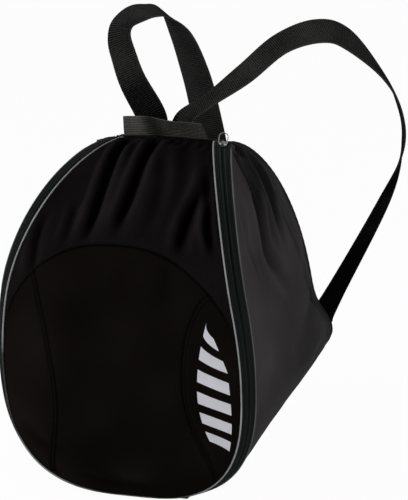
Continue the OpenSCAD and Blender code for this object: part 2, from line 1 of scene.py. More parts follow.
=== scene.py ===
"""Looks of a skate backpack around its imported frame. Shapes are worked out in millimetres."""
import math

import bpy
import numpy as np
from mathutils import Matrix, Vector


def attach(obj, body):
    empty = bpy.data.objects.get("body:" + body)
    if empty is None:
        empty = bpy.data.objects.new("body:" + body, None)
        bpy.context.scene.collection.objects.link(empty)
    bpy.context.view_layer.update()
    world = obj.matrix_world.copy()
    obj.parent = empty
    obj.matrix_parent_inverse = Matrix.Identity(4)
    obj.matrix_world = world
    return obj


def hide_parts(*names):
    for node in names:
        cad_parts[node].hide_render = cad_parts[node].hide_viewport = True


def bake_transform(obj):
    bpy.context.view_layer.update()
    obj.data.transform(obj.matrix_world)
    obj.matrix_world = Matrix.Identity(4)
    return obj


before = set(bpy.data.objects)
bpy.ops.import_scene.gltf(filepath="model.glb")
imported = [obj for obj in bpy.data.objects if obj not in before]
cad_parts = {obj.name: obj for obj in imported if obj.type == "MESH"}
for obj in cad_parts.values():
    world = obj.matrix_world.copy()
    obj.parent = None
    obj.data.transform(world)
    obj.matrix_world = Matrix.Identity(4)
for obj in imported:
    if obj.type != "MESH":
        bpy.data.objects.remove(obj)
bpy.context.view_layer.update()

MM = 0.001
UV_NAME = "cloth"
FOLD_NAME = "folds"


def mix(a, b, t):
    return a + (b - a) * t


def ease(v):
    t = np.clip(v, 0.0, 1.0)
    return t * t * (3.0 - 2.0 * t)


def above(v, place, span):
    """0 up to a place and 1 from a span beyond it, with a soft rise between."""
    return ease((v - place) / span)


def below(v, place, span):
    return ease((place - v) / span)


def rounded(v, p):
    return (1.0 - np.clip(v, 0.0, 1.0) ** p) ** (1.0 / p)


def unit(v):
    return v / np.maximum(np.linalg.norm(v, axis=-1, keepdims=True), 1e-12)


def both(s, t):
    return np.broadcast_arrays(np.asarray(s, float), np.asarray(t, float))


def stack(*columns):
    return np.stack(np.broadcast_arrays(*columns), -1)


def run_of(line):
    return unit(np.gradient(line, axis=0))


def shares(count):
    return np.linspace(0, 1, count)


def x_times(k):
    """Factor that mirrors a point (-1), keeps it (1) or drops its x (0)."""
    return np.array([k, 1, 1])


# Rounded outlines of the bag, from the lowest point at s = 0 to the ridge at s = 1. x and y hold a height,
# the measure at the foot, at that height and at the ridge, and the roundness below and above it. pull is how
# far the corner tabs draw the outline sideways and back, at what height and over what reach.
NO_PULL = (0.0, 0.0, 0.0, 1.0)
FRONT = dict(low=5.0, top=341.0, x=(140.0, 0.0, 120.0, 48.0, 2.8, 1.72),
             y=(214.0, -136.0, -177.0, -14.5, 1.4, 1.9), pull=NO_PULL)
OUTER = dict(low=3.6, top=338.0, x=(143.0, 0.0, 130.0, 66.0, 2.8, 1.72),
             y=(220.0, -122.0, -161.0, -12.0, 1.4, 1.9), pull=NO_PULL)
BACK = dict(low=3.6, top=338.0, x=(115.0, 0.0, 106.0, 58.0, 2.5, 1.75),
            y=(108.0, 140.0, 180.0, 0.0, 2.2, 1.6), pull=(18.0, 8.1, 100.0, 28.0))


def rim_z(r, s):
    return mix(r["low"], r["top"], (1 - np.cos(np.pi * s)) / 2)


def rim_s(r, z):
    return np.arccos(np.clip(1 - 2 * (z - r["low"]) / (r["top"] - r["low"]), -1, 1)) / np.pi


def measure(r, z, form, pull):
    mid, at_foot, at_mid, at_top, p_low, p_high = form
    low = mix(at_foot, at_mid, rounded((mid - z) / (mid - r["low"]), p_low))
    high = mix(at_top, at_mid, rounded((z - mid) / (r["top"] - mid), p_high))
    _, _, pull_z, reach = r["pull"]
    return pull * np.exp(-((z - pull_z) / reach) ** 2) + np.where(z < mid, low, high)


def rim_y(r, z):
    return measure(r, z, r["y"], r["pull"][1])


def rim_at(r, u):
    u = np.asarray(u, float)
    z = rim_z(r, np.abs(u))
    return stack(np.sign(u) * measure(r, z, r["x"], r["pull"][0]), rim_y(r, z), z)


STEP = 0.01
TUCK = 0.9


def panel_half(r, s):
    s = np.asarray(s, float)
    run = unit(rim_at(r, np.minimum(s + STEP, 1)) - rim_at(r, np.maximum(s - STEP, 0)))
    return np.maximum(rim_at(r, s)[..., 0] - TUCK / np.hypot(run[..., 1], run[..., 2]), 1)


def profile_out(r, s):
    m = np.clip(s, STEP, 1 - STEP)
    d = unit((rim_at(r, m + STEP) - rim_at(r, m - STEP)) * x_times(0))
    return stack(0.0, -d[..., 2], d[..., 1])


# Surfaces of the panels, by a place s up the outline and a share t across
FOOT_S = 0.065
FOOT_FADE, FOOT_REACH = 0.1, 0.85
CROWN, CROWN_ALONG, CROWN_ACROSS = 24.0, 0.85, 2.2
ARCH_FOOT, ARCH_TOP, ARCH_POWER = 160.0, 259.0, 2.6
GUSSET_BOW, BOW_FROM, BOW_SPAN = 12.0, 0.2, 0.3
BACK_CROWN = 6.0


def foot_drop(t):
    """From the straight foot of the front panel down to the rim under it."""
    wide, _, half, _, power, _ = FRONT["x"]
    z = mix(wide, FRONT["low"], rounded(np.abs(t) * panel_half(FRONT, FOOT_S) / half, power))
    return stack(0.0, rim_y(FRONT, z), z) - rim_at(FRONT, FOOT_S) * x_times(0)


def front_at(s, t):
    s, t = both(s, t)
    p = rim_at(FRONT, s)
    rise = np.clip((s - FOOT_S) / (1 - FOOT_S), 0, 1)
    crown = CROWN * np.maximum(0, np.sin(np.pi * rise)) ** CROWN_ALONG * (1 - np.abs(t) ** CROWN_ACROSS)
    base = stack(t * panel_half(FRONT, s), p[..., 1], p[..., 2])
    drop = FOOT_REACH * (1 - above(s, FOOT_S, FOOT_FADE))
    return base + crown[..., None] * profile_out(FRONT, s) + drop[..., None] * foot_drop(t)


def arch_s(t):
    return rim_s(FRONT, mix(ARCH_FOOT, ARCH_TOP, rounded(np.abs(t), ARCH_POWER)))


# A side seam: its waist as a share of the half panel, the waist's height share, and its bow above and below
RIGHT_SEAM = (0.577, 0.63, 2.1, 2.9)
LEFT_SEAM = (0.527, 0.575, 1.4, 2.7)
BAG_SIDES = (("right", 1, RIGHT_SEAM), ("left", -1, LEFT_SEAM))


def side_t(seam, v):
    waist, height, over, under = seam
    return waist + np.where(v > height, over, under) * (v - height) ** 2


def side_tip(seam):
    """Height share at which a side seam meets the rim."""
    waist, height, _, under = seam
    return height - math.sqrt((1.0 - waist) / under)


def lower_s(v, t):
    return mix(FOOT_S, arch_s(t), v)


def gusset_at(s, t):
    s, t = both(s, t)
    p = mix(rim_at(OUTER, s), rim_at(BACK, s), t[..., None])
    p[..., 0] += GUSSET_BOW * 4 * t * (1 - t) * above(s, BOW_FROM, BOW_SPAN) * below(s, 1, BOW_SPAN)
    return p


def back_at(s, t):
    s, t = both(s, t)
    p = rim_at(BACK, s)
    y = p[..., 1] + BACK_CROWN * np.sin(np.pi * s) * (1 - t * t)
    return stack(t * panel_half(BACK, s), y, p[..., 2])


def curve_at(points, t):
    """Smooth curve through points, for shares t of its length."""
    points = np.asarray(points, float)
    n = len(points) - 1
    ends = 2 * points[[0, -1]] - points[[1, -2]]
    points = np.vstack([ends[:1], points, ends[1:]])
    i = np.minimum(np.floor(t * n).astype(int), n - 1)
    f = (t * n - i)[:, None]
    p0, p1, p2, p3 = (points[i + k] for k in range(4))
    return p1 + 0.5 * f * ((p2 - p0) + f * ((2 * p0 - 5 * p1 + 4 * p2 - p3) + f * (3 * (p1 - p2) + p3 - p0)))


def along(points):
    """Length of a line of points up to each of them."""
    return np.concatenate([[0.0], np.cumsum(np.linalg.norm(np.diff(points, axis=0), axis=1))])


def resample(points, count):
    """The same line through evenly spaced points; further columns are carried along."""
    run = along(points[:, :3])
    at = np.linspace(0, run[-1], count)
    return np.stack([np.interp(at, run, points[:, k]) for k in range(points.shape[1])], -1)


def unit_grid(rows, cols):
    return np.meshgrid(shares(rows), shares(cols), indexing="ij")


# Meshes
SHARP_ANGLE = math.radians(50)


def fill(collection, field, values, kind):
    collection.foreach_set(field, np.asarray(values).astype(kind).ravel())


def put(name, data):
    thing = bpy.data.objects.new(name, data)
    bpy.context.scene.collection.objects.link(thing)
    return thing


def add_piece(name, made, material, body, slot, *nodes, folds=None):
    """made is the vertices, a list of index arrays of faces with as many corners as columns, and the corners'
    places on the cloth. Without a body the piece doesn't ride."""
    verts, faces, corner_uv = made
    mesh = bpy.data.meshes.new(name)
    mesh.vertices.add(len(verts))
    fill(mesh.vertices, "co", verts * MM, np.float32)
    totals = np.concatenate([np.full(len(f), f.shape[1]) for f in faces])
    mesh.loops.add(int(totals.sum()))
    mesh.polygons.add(len(totals))
    fill(mesh.polygons, "loop_start", np.concatenate([[0], np.cumsum(totals)[:-1]]), np.int32)
    fill(mesh.loops, "vertex_index", np.concatenate([f.ravel() for f in faces]), np.int32)
    uv = np.concatenate([c.reshape(-1, 2) for c in corner_uv])
    fill(mesh.uv_layers.new(name=UV_NAME).data, "uv", uv, np.float32)
    if folds is not None:
        fill(mesh.attributes.new(FOLD_NAME, "FLOAT", "POINT").data, "value", folds, np.float32)
    mesh.update(calc_edges=True)
    mesh.validate()
    mesh.polygons.foreach_set("use_smooth", np.ones(len(mesh.polygons), bool))
    mesh.set_sharp_from_angle(angle=SHARP_ANGLE)
    mesh.materials.append(material)
    piece = put(name, mesh)
    if body:
        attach(piece, body)
    if nodes:
        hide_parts(*nodes)
    return piece


def grid_quads(rows, cols, wrap):
    """Indices of the quads of a grid, and for each corner its row and column counted without wrapping."""
    i, j = np.meshgrid(np.arange(rows - 1), np.arange(cols if wrap else cols - 1), indexing="ij")
    corner_i = stack(i, i + 1, i + 1, i).reshape(-1, 4)
    corner_j = stack(j, j, j + 1, j + 1).reshape(-1, 4)
    return corner_i * cols + corner_j % cols, corner_i, corner_j


def normals_of(p):
    return unit(np.cross(np.gradient(p, axis=0), np.gradient(p, axis=1)))


def cloth_sheet(face, thickness, out=None):
    """Closed sheet of cloth under a grid of points whose rows and columns turn to the outside."""
    rows, cols = face.shape[:2]
    under = face - thickness * (normals_of(face) if out is None else out)
    across = np.cumsum(np.linalg.norm(np.diff(face, axis=1), axis=2), 1)
    across = np.concatenate([np.zeros((rows, 1)), across], 1)
    across = across - across[:, [cols // 2]]
    up = along(face[:, cols // 2])
    uv = stack(across, up[:, None]).reshape(-1, 2)
    top, _, _ = grid_quads(rows, cols, False)
    count = rows * cols
    index = np.arange(count).reshape(rows, cols)
    rim = np.concatenate([index[0], index[1:, -1], index[-1, -2::-1], index[-2:0:-1, 0]])
    after = np.roll(rim, -1)
    edge = stack(rim, after, after + count, rim + count)
    uv = np.concatenate([uv, uv])
    verts = np.concatenate([face.reshape(-1, 3), under.reshape(-1, 3)])
    faces = [top, top[:, ::-1] + count, edge]
    return verts, faces, [uv[f] for f in faces]


def loft(rings, u=None):
    """Closed tube through rings of points, with its ends capped."""
    count, sides = rings.shape[:2]
    quads, row, col = grid_quads(count, sides, True)
    ring = rings[count // 2]
    if u is None:
        u = along(np.vstack([ring, ring[:1]]))
    v = along(rings.mean(1))
    uv = stack(u[col], v[row])
    first = np.arange(sides)[None, :]
    last = (count - 1) * sides + first[:, ::-1]
    ends = [stack(u[:sides], v[0]), stack(u[:sides][::-1], v[-1])]
    return rings.reshape(-1, 3), [quads[:, ::-1], first, last], [uv[:, ::-1]] + ends


ALONG_Y, ALONG_Z = np.array([[0.0, 1.0, 0.0]]), np.array([[0.0, 0.0, 1.0]])


def cord(centre, side, out, radius, sides):
    """Round cord along a line of points; radius may differ from point to point."""
    a = 2 * np.pi * np.arange(sides)[:, None] / sides
    turn = side[:, None] * np.cos(a) + out[:, None] * np.sin(a)
    return loft(centre[:, None] + np.reshape(radius, (-1, 1, 1)) * turn)


def join(parts):
    """One set of vertices, faces and corner coordinates from several."""
    verts, faces, corner_uv = zip(*parts)
    starts = np.cumsum([0] + [len(v) for v in verts])
    return np.concatenate(verts), [f + k for part, k in zip(faces, starts) for f in part], sum(corner_uv, [])


STITCH_RINGS, STITCH_SIDES, STITCH_TIP = 5, 6, 0.45


def stitches(points, out, pitch=3.4, length=2.5, radius=0.32, lift=0.15):
    """Thread of a sewn row: one low arched stitch after another along a line on the cloth."""
    count = max(int(along(points)[-1] / pitch), 2)
    line = resample(np.hstack([points, out]), 2 * count + 1)
    run = unit(line[2::2, :3] - line[:-1:2, :3])
    side = unit(np.cross(unit(line[1::2, 3:]), run))
    x = np.linspace(-0.5, 0.5, STITCH_RINGS)[:, None]
    arch = np.cos(np.pi * x)
    rise = (lift + radius) * arch - radius
    r = radius * mix(STITCH_TIP, 1.0, arch[:, 0])
    return join([cord(c + length * x * d + rise * n, w[None], n[None], r, STITCH_SIDES)
                 for c, d, w, n in zip(line[1::2, :3], run, side, np.cross(run, side))])


# Materials
SHADER = "Principled BSDF"


def new_material(name):
    material = bpy.data.materials.new(name)
    material.use_nodes = True
    return material, material.node_tree


def plug(value, socket):
    if isinstance(value, bpy.types.NodeSocket):
        socket.id_data.links.new(value, socket)
    else:
        socket.default_value = value


def settle(node, **inputs):
    """Plug values or sockets into a node's inputs by name."""
    for name, value in inputs.items():
        plug(value, node.inputs[name.replace("_", " ")])


def add_node(tree, kind, **inputs):
    node = tree.nodes.new("ShaderNode" + kind)
    settle(node, **inputs)
    return node


def calc(operation, a, b=0.0):
    node = add_node(a.id_data, "Math")
    node.operation = operation
    plug(a, node.inputs[0])
    plug(b, node.inputs[1])
    return node.outputs[0]


def times(a, b):
    return calc("MULTIPLY", a, b)


def plus(total, *values):
    for value in values:
        total = calc("ADD", total, value)
    return total


def spread(value, low, high):
    """A value from 0 to 1 moved into low to high."""
    return plus(times(value, high - low), low)


def wave(value, pitch):
    return calc("SINE", times(value, 2 * math.pi / pitch))


def own_place(tree):
    """The object's own coordinates, in metres."""
    return add_node(tree, "TexCoord").outputs["Object"]


def noise(tree, scale, detail=3.0, stretch=None):
    place = own_place(tree)
    if stretch is not None:
        place = add_node(tree, "Mapping", Vector=place, Scale=stretch).outputs[0]
    return add_node(tree, "TexNoise", Vector=place, Scale=scale, Detail=detail).outputs["Fac"]


def weave_coordinates(tree):
    node = add_node(tree, "UVMap")
    node.uv_map = UV_NAME
    return add_node(tree, "SeparateXYZ", Vector=node.outputs["UV"]).outputs[:2]


def fold_tone(tree):
    """How high a place on the cloth stands, from -1 in a crease to 1 on a ridge; 0 where it isn't folded. The
    colour takes painted shade and highlights from it; some pieces add painted light and shade and other tone
    to it.
    """
    node = add_node(tree, "Attribute")
    node.attribute_name = FOLD_NAME
    return node.outputs["Fac"]


def shade_along(tree, axis, start, span, amount):
    """Change of tone along an axis of the object, in metres, from nothing at its start to the amount."""
    place = add_node(tree, "SeparateXYZ", Vector=own_place(tree)).outputs[axis]
    node = add_node(tree, "MapRange", Value=place, From_Min=start, From_Max=start + span, To_Max=amount)
    node.interpolation_type = "SMOOTHSTEP"
    return node.outputs["Result"]


def ramp(value, stops):
    node = add_node(value.id_data, "ValToRGB", Fac=value)
    elements = node.color_ramp.elements
    while len(elements) < len(stops):
        elements.new(0.5)
    for element, (place, colour) in zip(elements, stops):
        element.position = place
        element.color = (*colour, 1.0)
    return node.outputs[0]


def dress(material, tone, stops, grain, rough, height, relief, **values):
    """Colours by a tone, roughness by a grain, relief by a height, and values that are the same all over."""
    bump = add_node(height.id_data, "Bump", Strength=relief[0], Distance=relief[1], Height=height)
    settle(material.node_tree.nodes[SHADER], Base_Color=ramp(tone, stops), Roughness=spread(grain, *rough),
           Normal=bump.outputs["Normal"], **values)
    return material


BROAD_DETAIL = 4.0
SLUB_SCALE, SLUB_TONE, SLUB_RELIEF = 700.0, 0.12, 1.4
CLOTH_BROAD_SCALE, CLOTH_BROAD = 11.0, (0.2, 0.8)
# The folds attribute moves the tone: painted shade in creases and painted highlight on ridges. The ramp's
# ends are that painted shade and highlight, as shares of the dark and light colours
WEAVE_TONE, FOLD_TONE = 0.08, 0.5
SHADE_TONE, HIGHLIGHT_TONE = 0.2, 1.7
DARK_AT, LIGHT_AT = 0.35, 0.65
CLOTH_RELIEF = (0.35, 0.0002)


def woven(name, dark, light, pitch, rough, level):
    """Plain-woven cloth with uneven threads, a faint broad change of tone, painted shade in creases and
    painted highlights on ridges.
    """
    material, tree = new_material(name)
    u, v = weave_coordinates(tree)
    threads = times(wave(u, pitch), wave(v, pitch))
    slubs = noise(tree, SLUB_SCALE)
    broad = spread(noise(tree, CLOTH_BROAD_SCALE, BROAD_DETAIL), *CLOTH_BROAD)
    tone = plus(times(threads, WEAVE_TONE), broad, spread(slubs, -SLUB_TONE, SLUB_TONE),
                times(fold_tone(tree), FOLD_TONE))
    # Ramp from painted shade through the cloth's own colours to painted highlight
    stops = [(0.0, np.multiply(SHADE_TONE, dark)), (DARK_AT, dark), (LIGHT_AT, light),
             (1.0, np.multiply(HIGHLIGHT_TONE, light))]
    return dress(material, tone, stops, slubs, (rough - 0.1, rough + 0.12),
                 plus(threads, times(slubs, SLUB_RELIEF)), CLOTH_RELIEF, Specular_IOR_Level=level)


WARP_PITCH, RIB_SHARE, WARP_SHARE = 0.9, 0.6, 0.4
SELVAGE, SELVAGE_MOST = 2.0, 1.5
FUZZ_SCALE, FUZZ_TONE, FUZZ_RELIEF = 900.0, (-0.35, 0.4), 0.8
WEB_BROAD_SCALE, WEB_BROAD = 18.0, (0.1, 0.8)
RIB_TONE, EDGE_TONE, WEB_FOLD_TONE = 0.28, 0.12, 0.3
WEB_RELIEF = (0.5, 0.0003)


def ribbed(name, dark, light, rib, half, rough, level, lengthwise=False, shade=None):
    """Webbing with ribs across or along its length, fine threads over them and rubbed selvages."""
    material, tree = new_material(name)
    u, v = weave_coordinates(tree)
    ribs = wave(u if lengthwise else v, rib)
    warp = wave(v if lengthwise else u, WARP_PITCH)
    threads = plus(times(ribs, RIB_SHARE), times(times(ribs, warp), WARP_SHARE))
    fuzz = noise(tree, FUZZ_SCALE)
    broad = spread(noise(tree, WEB_BROAD_SCALE, BROAD_DETAIL), *WEB_BROAD)
    past = calc("SUBTRACT", calc("ABSOLUTE", u), half - SELVAGE)
    edge = calc("SMOOTH_MIN", calc("MAXIMUM", past, 0.0), SELVAGE_MOST)
    # The folds attribute adds painted shade and painted light along the straps and the handle band
    tone = plus(times(threads, RIB_TONE), broad, times(edge, EDGE_TONE),
                spread(fuzz, *FUZZ_TONE), times(fold_tone(tree), WEB_FOLD_TONE))
    if shade is not None:
        tone = plus(tone, shade_along(tree, *shade))
    return dress(material, tone, [(0.2, dark), (0.85, light)], fuzz, (rough - 0.1, rough + 0.1),
                 plus(threads, times(fuzz, FUZZ_RELIEF)), WEB_RELIEF, Specular_IOR_Level=level)


COAT_BROAD_SCALE, COAT_BROAD, COAT_FINE, COAT_BUMP = 25.0, (-0.1, 0.7), (-0.2, 0.5), 0.4


def coated(name, dark, light, rough, metal, level, grain, depth, darkened=None):
    """Cord, nylon or print with a fine grain; darkened is the share of its brightness left where the folds
    attribute darkens it most.
    """
    material, tree = new_material(name)
    fine = noise(tree, grain)
    broad = spread(noise(tree, COAT_BROAD_SCALE, BROAD_DETAIL), *COAT_BROAD)
    tone = plus(broad, spread(fine, *COAT_FINE))
    stops = [(0.2, dark), (0.8, light)]
    if darkened:
        tone = plus(tone, times(fold_tone(tree), FOLD_TONE))
        stops = [(0.0, np.multiply(darkened, dark))] + stops
    return dress(material, tone, stops, fine, (rough - 0.1, rough + 0.1), fine, (COAT_BUMP, depth),
                 Metallic=metal, Specular_IOR_Level=level)


SCRATCH_SCALE, SCRATCH_STRETCH, PATCH_SCALE = 500.0, (1.0, 0.08, 1.0), 160.0
METAL_ROUGH, METAL_RELIEF = (0.14, 0.38), (0.15, 0.00005)


def polished(name, dark, light):
    """Nickel with fine scratches and duller patches."""
    material, tree = new_material(name)
    scratches = noise(tree, SCRATCH_SCALE, 2.0, SCRATCH_STRETCH)
    return dress(material, noise(tree, PATCH_SCALE), [(0.3, dark), (0.7, light)], scratches, METAL_ROUGH,
                 scratches, METAL_RELIEF, Metallic=1.0)


RIB, CORD_PITCH = 2.1, 1.65
STRAP_HALF = 16.0
STRAP_SHADE = (2, 0.41, -0.26, -0.5)
HANDLE_SHADE = (0, -0.035, 0.04, -0.1)
FRONT_CLOTH = woven("front_cloth", (0.0056, 0.0040, 0.0040), (0.0080, 0.0060, 0.0060), 0.55, 0.85, 0.0)
# The yoke gets a lighter copy of the front cloth: painted light, as its panel faces up to the lamps
YOKE_LIT_CLOTH = woven("yoke_cloth_lit", (0.0056, 0.0046, 0.0049), (0.0100, 0.0088, 0.0094), 0.55, 0.85, 0.0)
BODY_CLOTH = woven("body_cloth", (0.0205, 0.0186, 0.0195), (0.0300, 0.0276, 0.0287), 0.5, 0.75, 0.02)
TAPE_CLOTH = woven("zip_tape", (0.0036, 0.0041, 0.0041), (0.0078, 0.0089, 0.0089), 0.7, 0.75, 0.03)
STRAP = ribbed("webbing", (0.0022, 0.0022, 0.0021), (0.056, 0.056, 0.0545), RIB, STRAP_HALF, 0.7, 0.0,
               shade=STRAP_SHADE)
HANDLE = ribbed("handle_webbing", (0.011, 0.0108, 0.0102), (0.125, 0.122, 0.115), CORD_PITCH, 9.7, 0.75, 0.02,
                True, HANDLE_SHADE)
SEAM_TAPE = ribbed("seam_tape", (0.0036, 0.0027, 0.0027), (0.0075, 0.0060, 0.0060), 1.3, 9.0, 0.85, 0.0)
PIPING = coated("piping", (0.22, 0.225, 0.23), (0.42, 0.43, 0.44), 0.5, 0.0, 0.2, 1500.0, 0.0001, 0.1)
DULL_PIPING = coated("dull_piping", (0.06, 0.062, 0.063), (0.14, 0.145, 0.147), 0.55, 0.0, 0.08, 1500.0,
                     0.0001)
COIL = coated("zip_chain", (0.009, 0.010, 0.0102), (0.019, 0.021, 0.0215), 0.55, 0.0, 0.05, 900.0, 0.00005)
THREAD = coated("thread", (0.004, 0.0036, 0.0036), (0.009, 0.008, 0.008), 0.6, 0.0, 0.06, 2500.0, 0.0001)
PRINT = coated("reflective_print", (0.60, 0.60, 0.64), (0.74, 0.74, 0.78), 0.5, 0.1, 0.5, 1800.0, 0.00006)
NICKEL = polished("nickel", (0.085, 0.08, 0.07), (0.21, 0.2, 0.182))


# Folds: each is a line on a panel, its depth and width, and the shares of its length over which its ends fade
FOLD_SAMPLES = 70
FOLD_FULL = 4.5
SHOULDER, SHOULDER_AT, SHOULDER_W = 0.55, 2, 0.9
RIPPLE_SIZES, RIPPLE_PHASE = (0.7, 1.4), 6.28


def gap_to(points, line):
    """Distance of each point to a line, and how far along it the nearest place is, from 0 to 1."""
    best = np.full(points.shape[:-1], np.inf)
    place = np.zeros(points.shape[:-1])
    for k, q in enumerate(line):
        d = np.linalg.norm(points - q, axis=-1)
        place[d < best] = k / (len(line) - 1)
        best = np.minimum(d, best)
    return best, place


def folds_on(points, surface, folds):
    """Height of the folds at each point: a valley with two soft shoulders."""
    total = np.zeros(points.shape[:-1])
    for places, depth, width, fade_in, fade_out in folds:
        st = curve_at(places, shares(FOLD_SAMPLES))
        gap, place = gap_to(points, surface(st[:, 0], st[:, 1]))
        strength = depth * above(place, 0, fade_in) * below(place, 1, fade_out)
        total += strength * (SHOULDER * np.exp(-((gap - SHOULDER_AT * width) / (SHOULDER_W * width)) ** 2)
                             - np.exp(-(gap / width) ** 2))
    return total


def ripple(points, seeds, size, height):
    """Smooth unevenness from a few slanting waves of the given size."""
    total = np.zeros(points.shape[:-1])
    for seed in seeds:
        draw = np.random.default_rng(seed)
        way = unit(draw.normal(size=3))
        pitch = size * draw.uniform(*RIPPLE_SIZES)
        total += np.sin(points @ way * (2 * np.pi / pitch) + draw.uniform(0, RIPPLE_PHASE))
    return height * total / len(seeds)


# Front panel
ARCH_COUNT, SIDE_COUNT = 260, 180
ARCH_T = np.linspace(-1, 1, ARCH_COUNT)
ARCH = stack(arch_s(ARCH_T), ARCH_T)
GROOVE_OFF = -2.0


def side_line(seam, sign):
    v = np.linspace(side_tip(seam) + 0.01, 1, SIDE_COUNT)
    t = side_t(seam, v)
    return stack(lower_s(v, t), sign * t)


def shifted(st, offset):
    """A line on the front panel moved sideways over the cloth, to the left of the way it runs."""
    s, t = st.T
    e_s = (front_at(s + STEP, t) - front_at(s - STEP, t)) / (2 * STEP)
    e_t = (front_at(s, t + STEP) - front_at(s, t - STEP)) / (2 * STEP)
    run = run_of(front_at(s, t))
    side = np.cross(unit(np.cross(e_t, e_s)), run)
    ss, tt, cross = np.sum(e_s * e_s, 1), np.sum(e_t * e_t, 1), np.sum(e_s * e_t, 1)
    p, q = np.sum(side * e_s, 1), np.sum(side * e_t, 1)
    step = stack(p * tt - q * cross, q * ss - p * cross) / (ss * tt - cross * cross)[:, None]
    return st + offset * step


SIDES = {sign: side_line(seam, sign) for _, sign, seam in BAG_SIDES}
# Each groove of a seam with its depth and how far the cloth rises beside it
GROOVES = [(front_at(*ARCH.T), 1.3, 0.25)]
GROOVES += [(front_at(*shifted(st, -sign * GROOVE_OFF).T), 1.2, 0.4) for sign, st in SIDES.items()]
GROOVE_W, GROOVE_TONE = 1.2, 0.8
PUCKER, PUCKER_PITCH, PUCKER_DRIFT, PUCKER_TURNS = 0.25, 12.0, 4, 17
BESIDE, BESIDE_W = 6, 4.5
GATHER, GATHER_PITCH, GATHER_DRIFT, GATHER_TURN = 1.1, 8.5, 3, 11
GATHER_FROM, GATHER_IN, GATHER_OUT = 0.9, 0.06, 0.02
FRONT_RIM = (0.07, 0.05, 0.045)
FRONT_RIPPLES = (((3, 5, 8, 13), 95.0, 1.3), ((21, 34, 55), 34.0, 0.35))
# Tone below the arch: painted light on the left side and lighter towards the foot, each with its place and
# span; random patches of tone; and the fade at the arch
LEFT_PAINTED_LIGHT, LEFT_PAINTED_LIGHT_AT = 0.55, (0.25, 0.5)
LOW_LIGHTER, LOW_LIGHTER_AT = 0.25, (0.3, 0.2)
WEAR_PATCHES, LOWER_TONE_FADE = ((6, 15, 27), 70.0, 0.3), 0.08
FRONT_FOLDS = [
    ([(0.985, -0.70), (0.902, -0.545), (0.825, -0.385), (0.758, -0.31), (0.706, -0.31), (0.66, -0.37)],
     6.5, 5.0, 0.1, 0.3),
    ([(0.985, -0.14), (0.909, -0.035), (0.828, 0.025), (0.76, 0.03), (0.72, -0.005), (0.67, -0.04)],
     6.5, 5.0, 0.1, 0.3),
    ([(0.9, 0.985), (0.8, 0.825), (0.741, 0.7), (0.695, 0.63), (0.655, 0.59)], 5.5, 5.0, 0.25, 0.3),
    ([(0.851, 0.965), (0.795, 0.92), (0.734, 0.885), (0.702, 0.895), (0.662, 0.925)], 5.5, 4.0, 0.2, 0.3),
    ([(0.9, 0.2), (0.858, 0.255), (0.807, 0.33), (0.758, 0.33), (0.711, 0.285), (0.67, 0.25)],
     2.0, 5.5, 0.3, 0.4),
    ([(0.96, 0.5), (0.89, 0.56), (0.80, 0.6), (0.72, 0.5)], 1.6, 6.0, 0.2, 0.4),
    ([(0.95, -0.45), (0.9, -0.3), (0.84, -0.18), (0.78, -0.15)], 1.4, 4.5, 0.2, 0.5),
    ([(0.75, -0.93), (0.688, -0.88), (0.639, -0.82), (0.6, -0.79)], 3.2, 5.5, 0.3, 0.4),
    ([(0.76, -0.58), (0.72, -0.545), (0.69, -0.54), (0.655, -0.56)], 2.2, 4.5, 0.3, 0.4),
    ([(0.655, 0.12), (0.62, 0.10), (0.57, 0.04)], 0.8, 8.0, 0.3, 0.6),
    ([(0.655, 0.5), (0.61, 0.48), (0.55, 0.42)], 0.9, 8.0, 0.3, 0.6),
    ([(0.16, -0.55), (0.15, -0.2), (0.135, 0.2), (0.15, 0.5)], 2.4, 9.0, 0.4, 0.4),
    ([(0.205, -0.5), (0.191, -0.375), (0.17, -0.205), (0.147, -0.01)], -1.0, 5.0, 0.4, 0.4),
    ([(0.33, -0.98), (0.27, -0.86), (0.22, -0.6)], 1.4, 8.0, 0.4, 0.4),
]


def front_relief(p, s, t):
    """Height of the cloth over the smooth front panel, and its tone: painted shade in folds and seam grooves,
    painted highlight on ridges, painted light on the left, lighter towards the foot, and random patches.
    """
    height = folds_on(p, front_at, FRONT_FOLDS)
    top = above(s, GATHER_FROM, GATHER_IN) * below(s, 1, GATHER_OUT)
    x = p[..., 0] + GATHER_DRIFT * np.sin(p[..., 0] / GATHER_TURN)
    height += GATHER * top * np.sin(2 * np.pi * x / GATHER_PITCH)
    side, low, high = FRONT_RIM
    rim = below(np.abs(t), 1, side) * above(s, FOOT_S, low) * below(s, 1, high)
    # The folds' height paints shade into creases and highlights onto ridges
    folds = np.clip(height * rim / FOLD_FULL, -1, 1)
    height += sum(ripple(p, *r) for r in FRONT_RIPPLES)
    for line, depth, rise in GROOVES:
        gap, place = gap_to(p, line)
        turn = place * along(line)[-1] * 2 * np.pi / PUCKER_PITCH
        pucker = np.sin(turn + PUCKER_DRIFT * np.sin(place * PUCKER_TURNS))
        height += (rise + PUCKER * pucker) * np.exp(-((gap - BESIDE) / BESIDE_W) ** 2)
        groove = np.exp(-(gap / GROOVE_W) ** 2)
        height -= depth * groove
        # Painted shade in the seam grooves
        folds = folds - GROOVE_TONE * groove
    # Painted light on the left and lighter towards the foot, with random patches, below the arch
    lower = below(s, arch_s(np.clip(t, -1, 1)), LOWER_TONE_FADE)
    tone_shift = LEFT_PAINTED_LIGHT * above(-t, *LEFT_PAINTED_LIGHT_AT) + LOW_LIGHTER * below(s, *LOW_LIGHTER_AT) + ripple(p, *WEAR_PATCHES)
    return height * rim, np.clip(folds + lower * tone_shift, -1, 1)


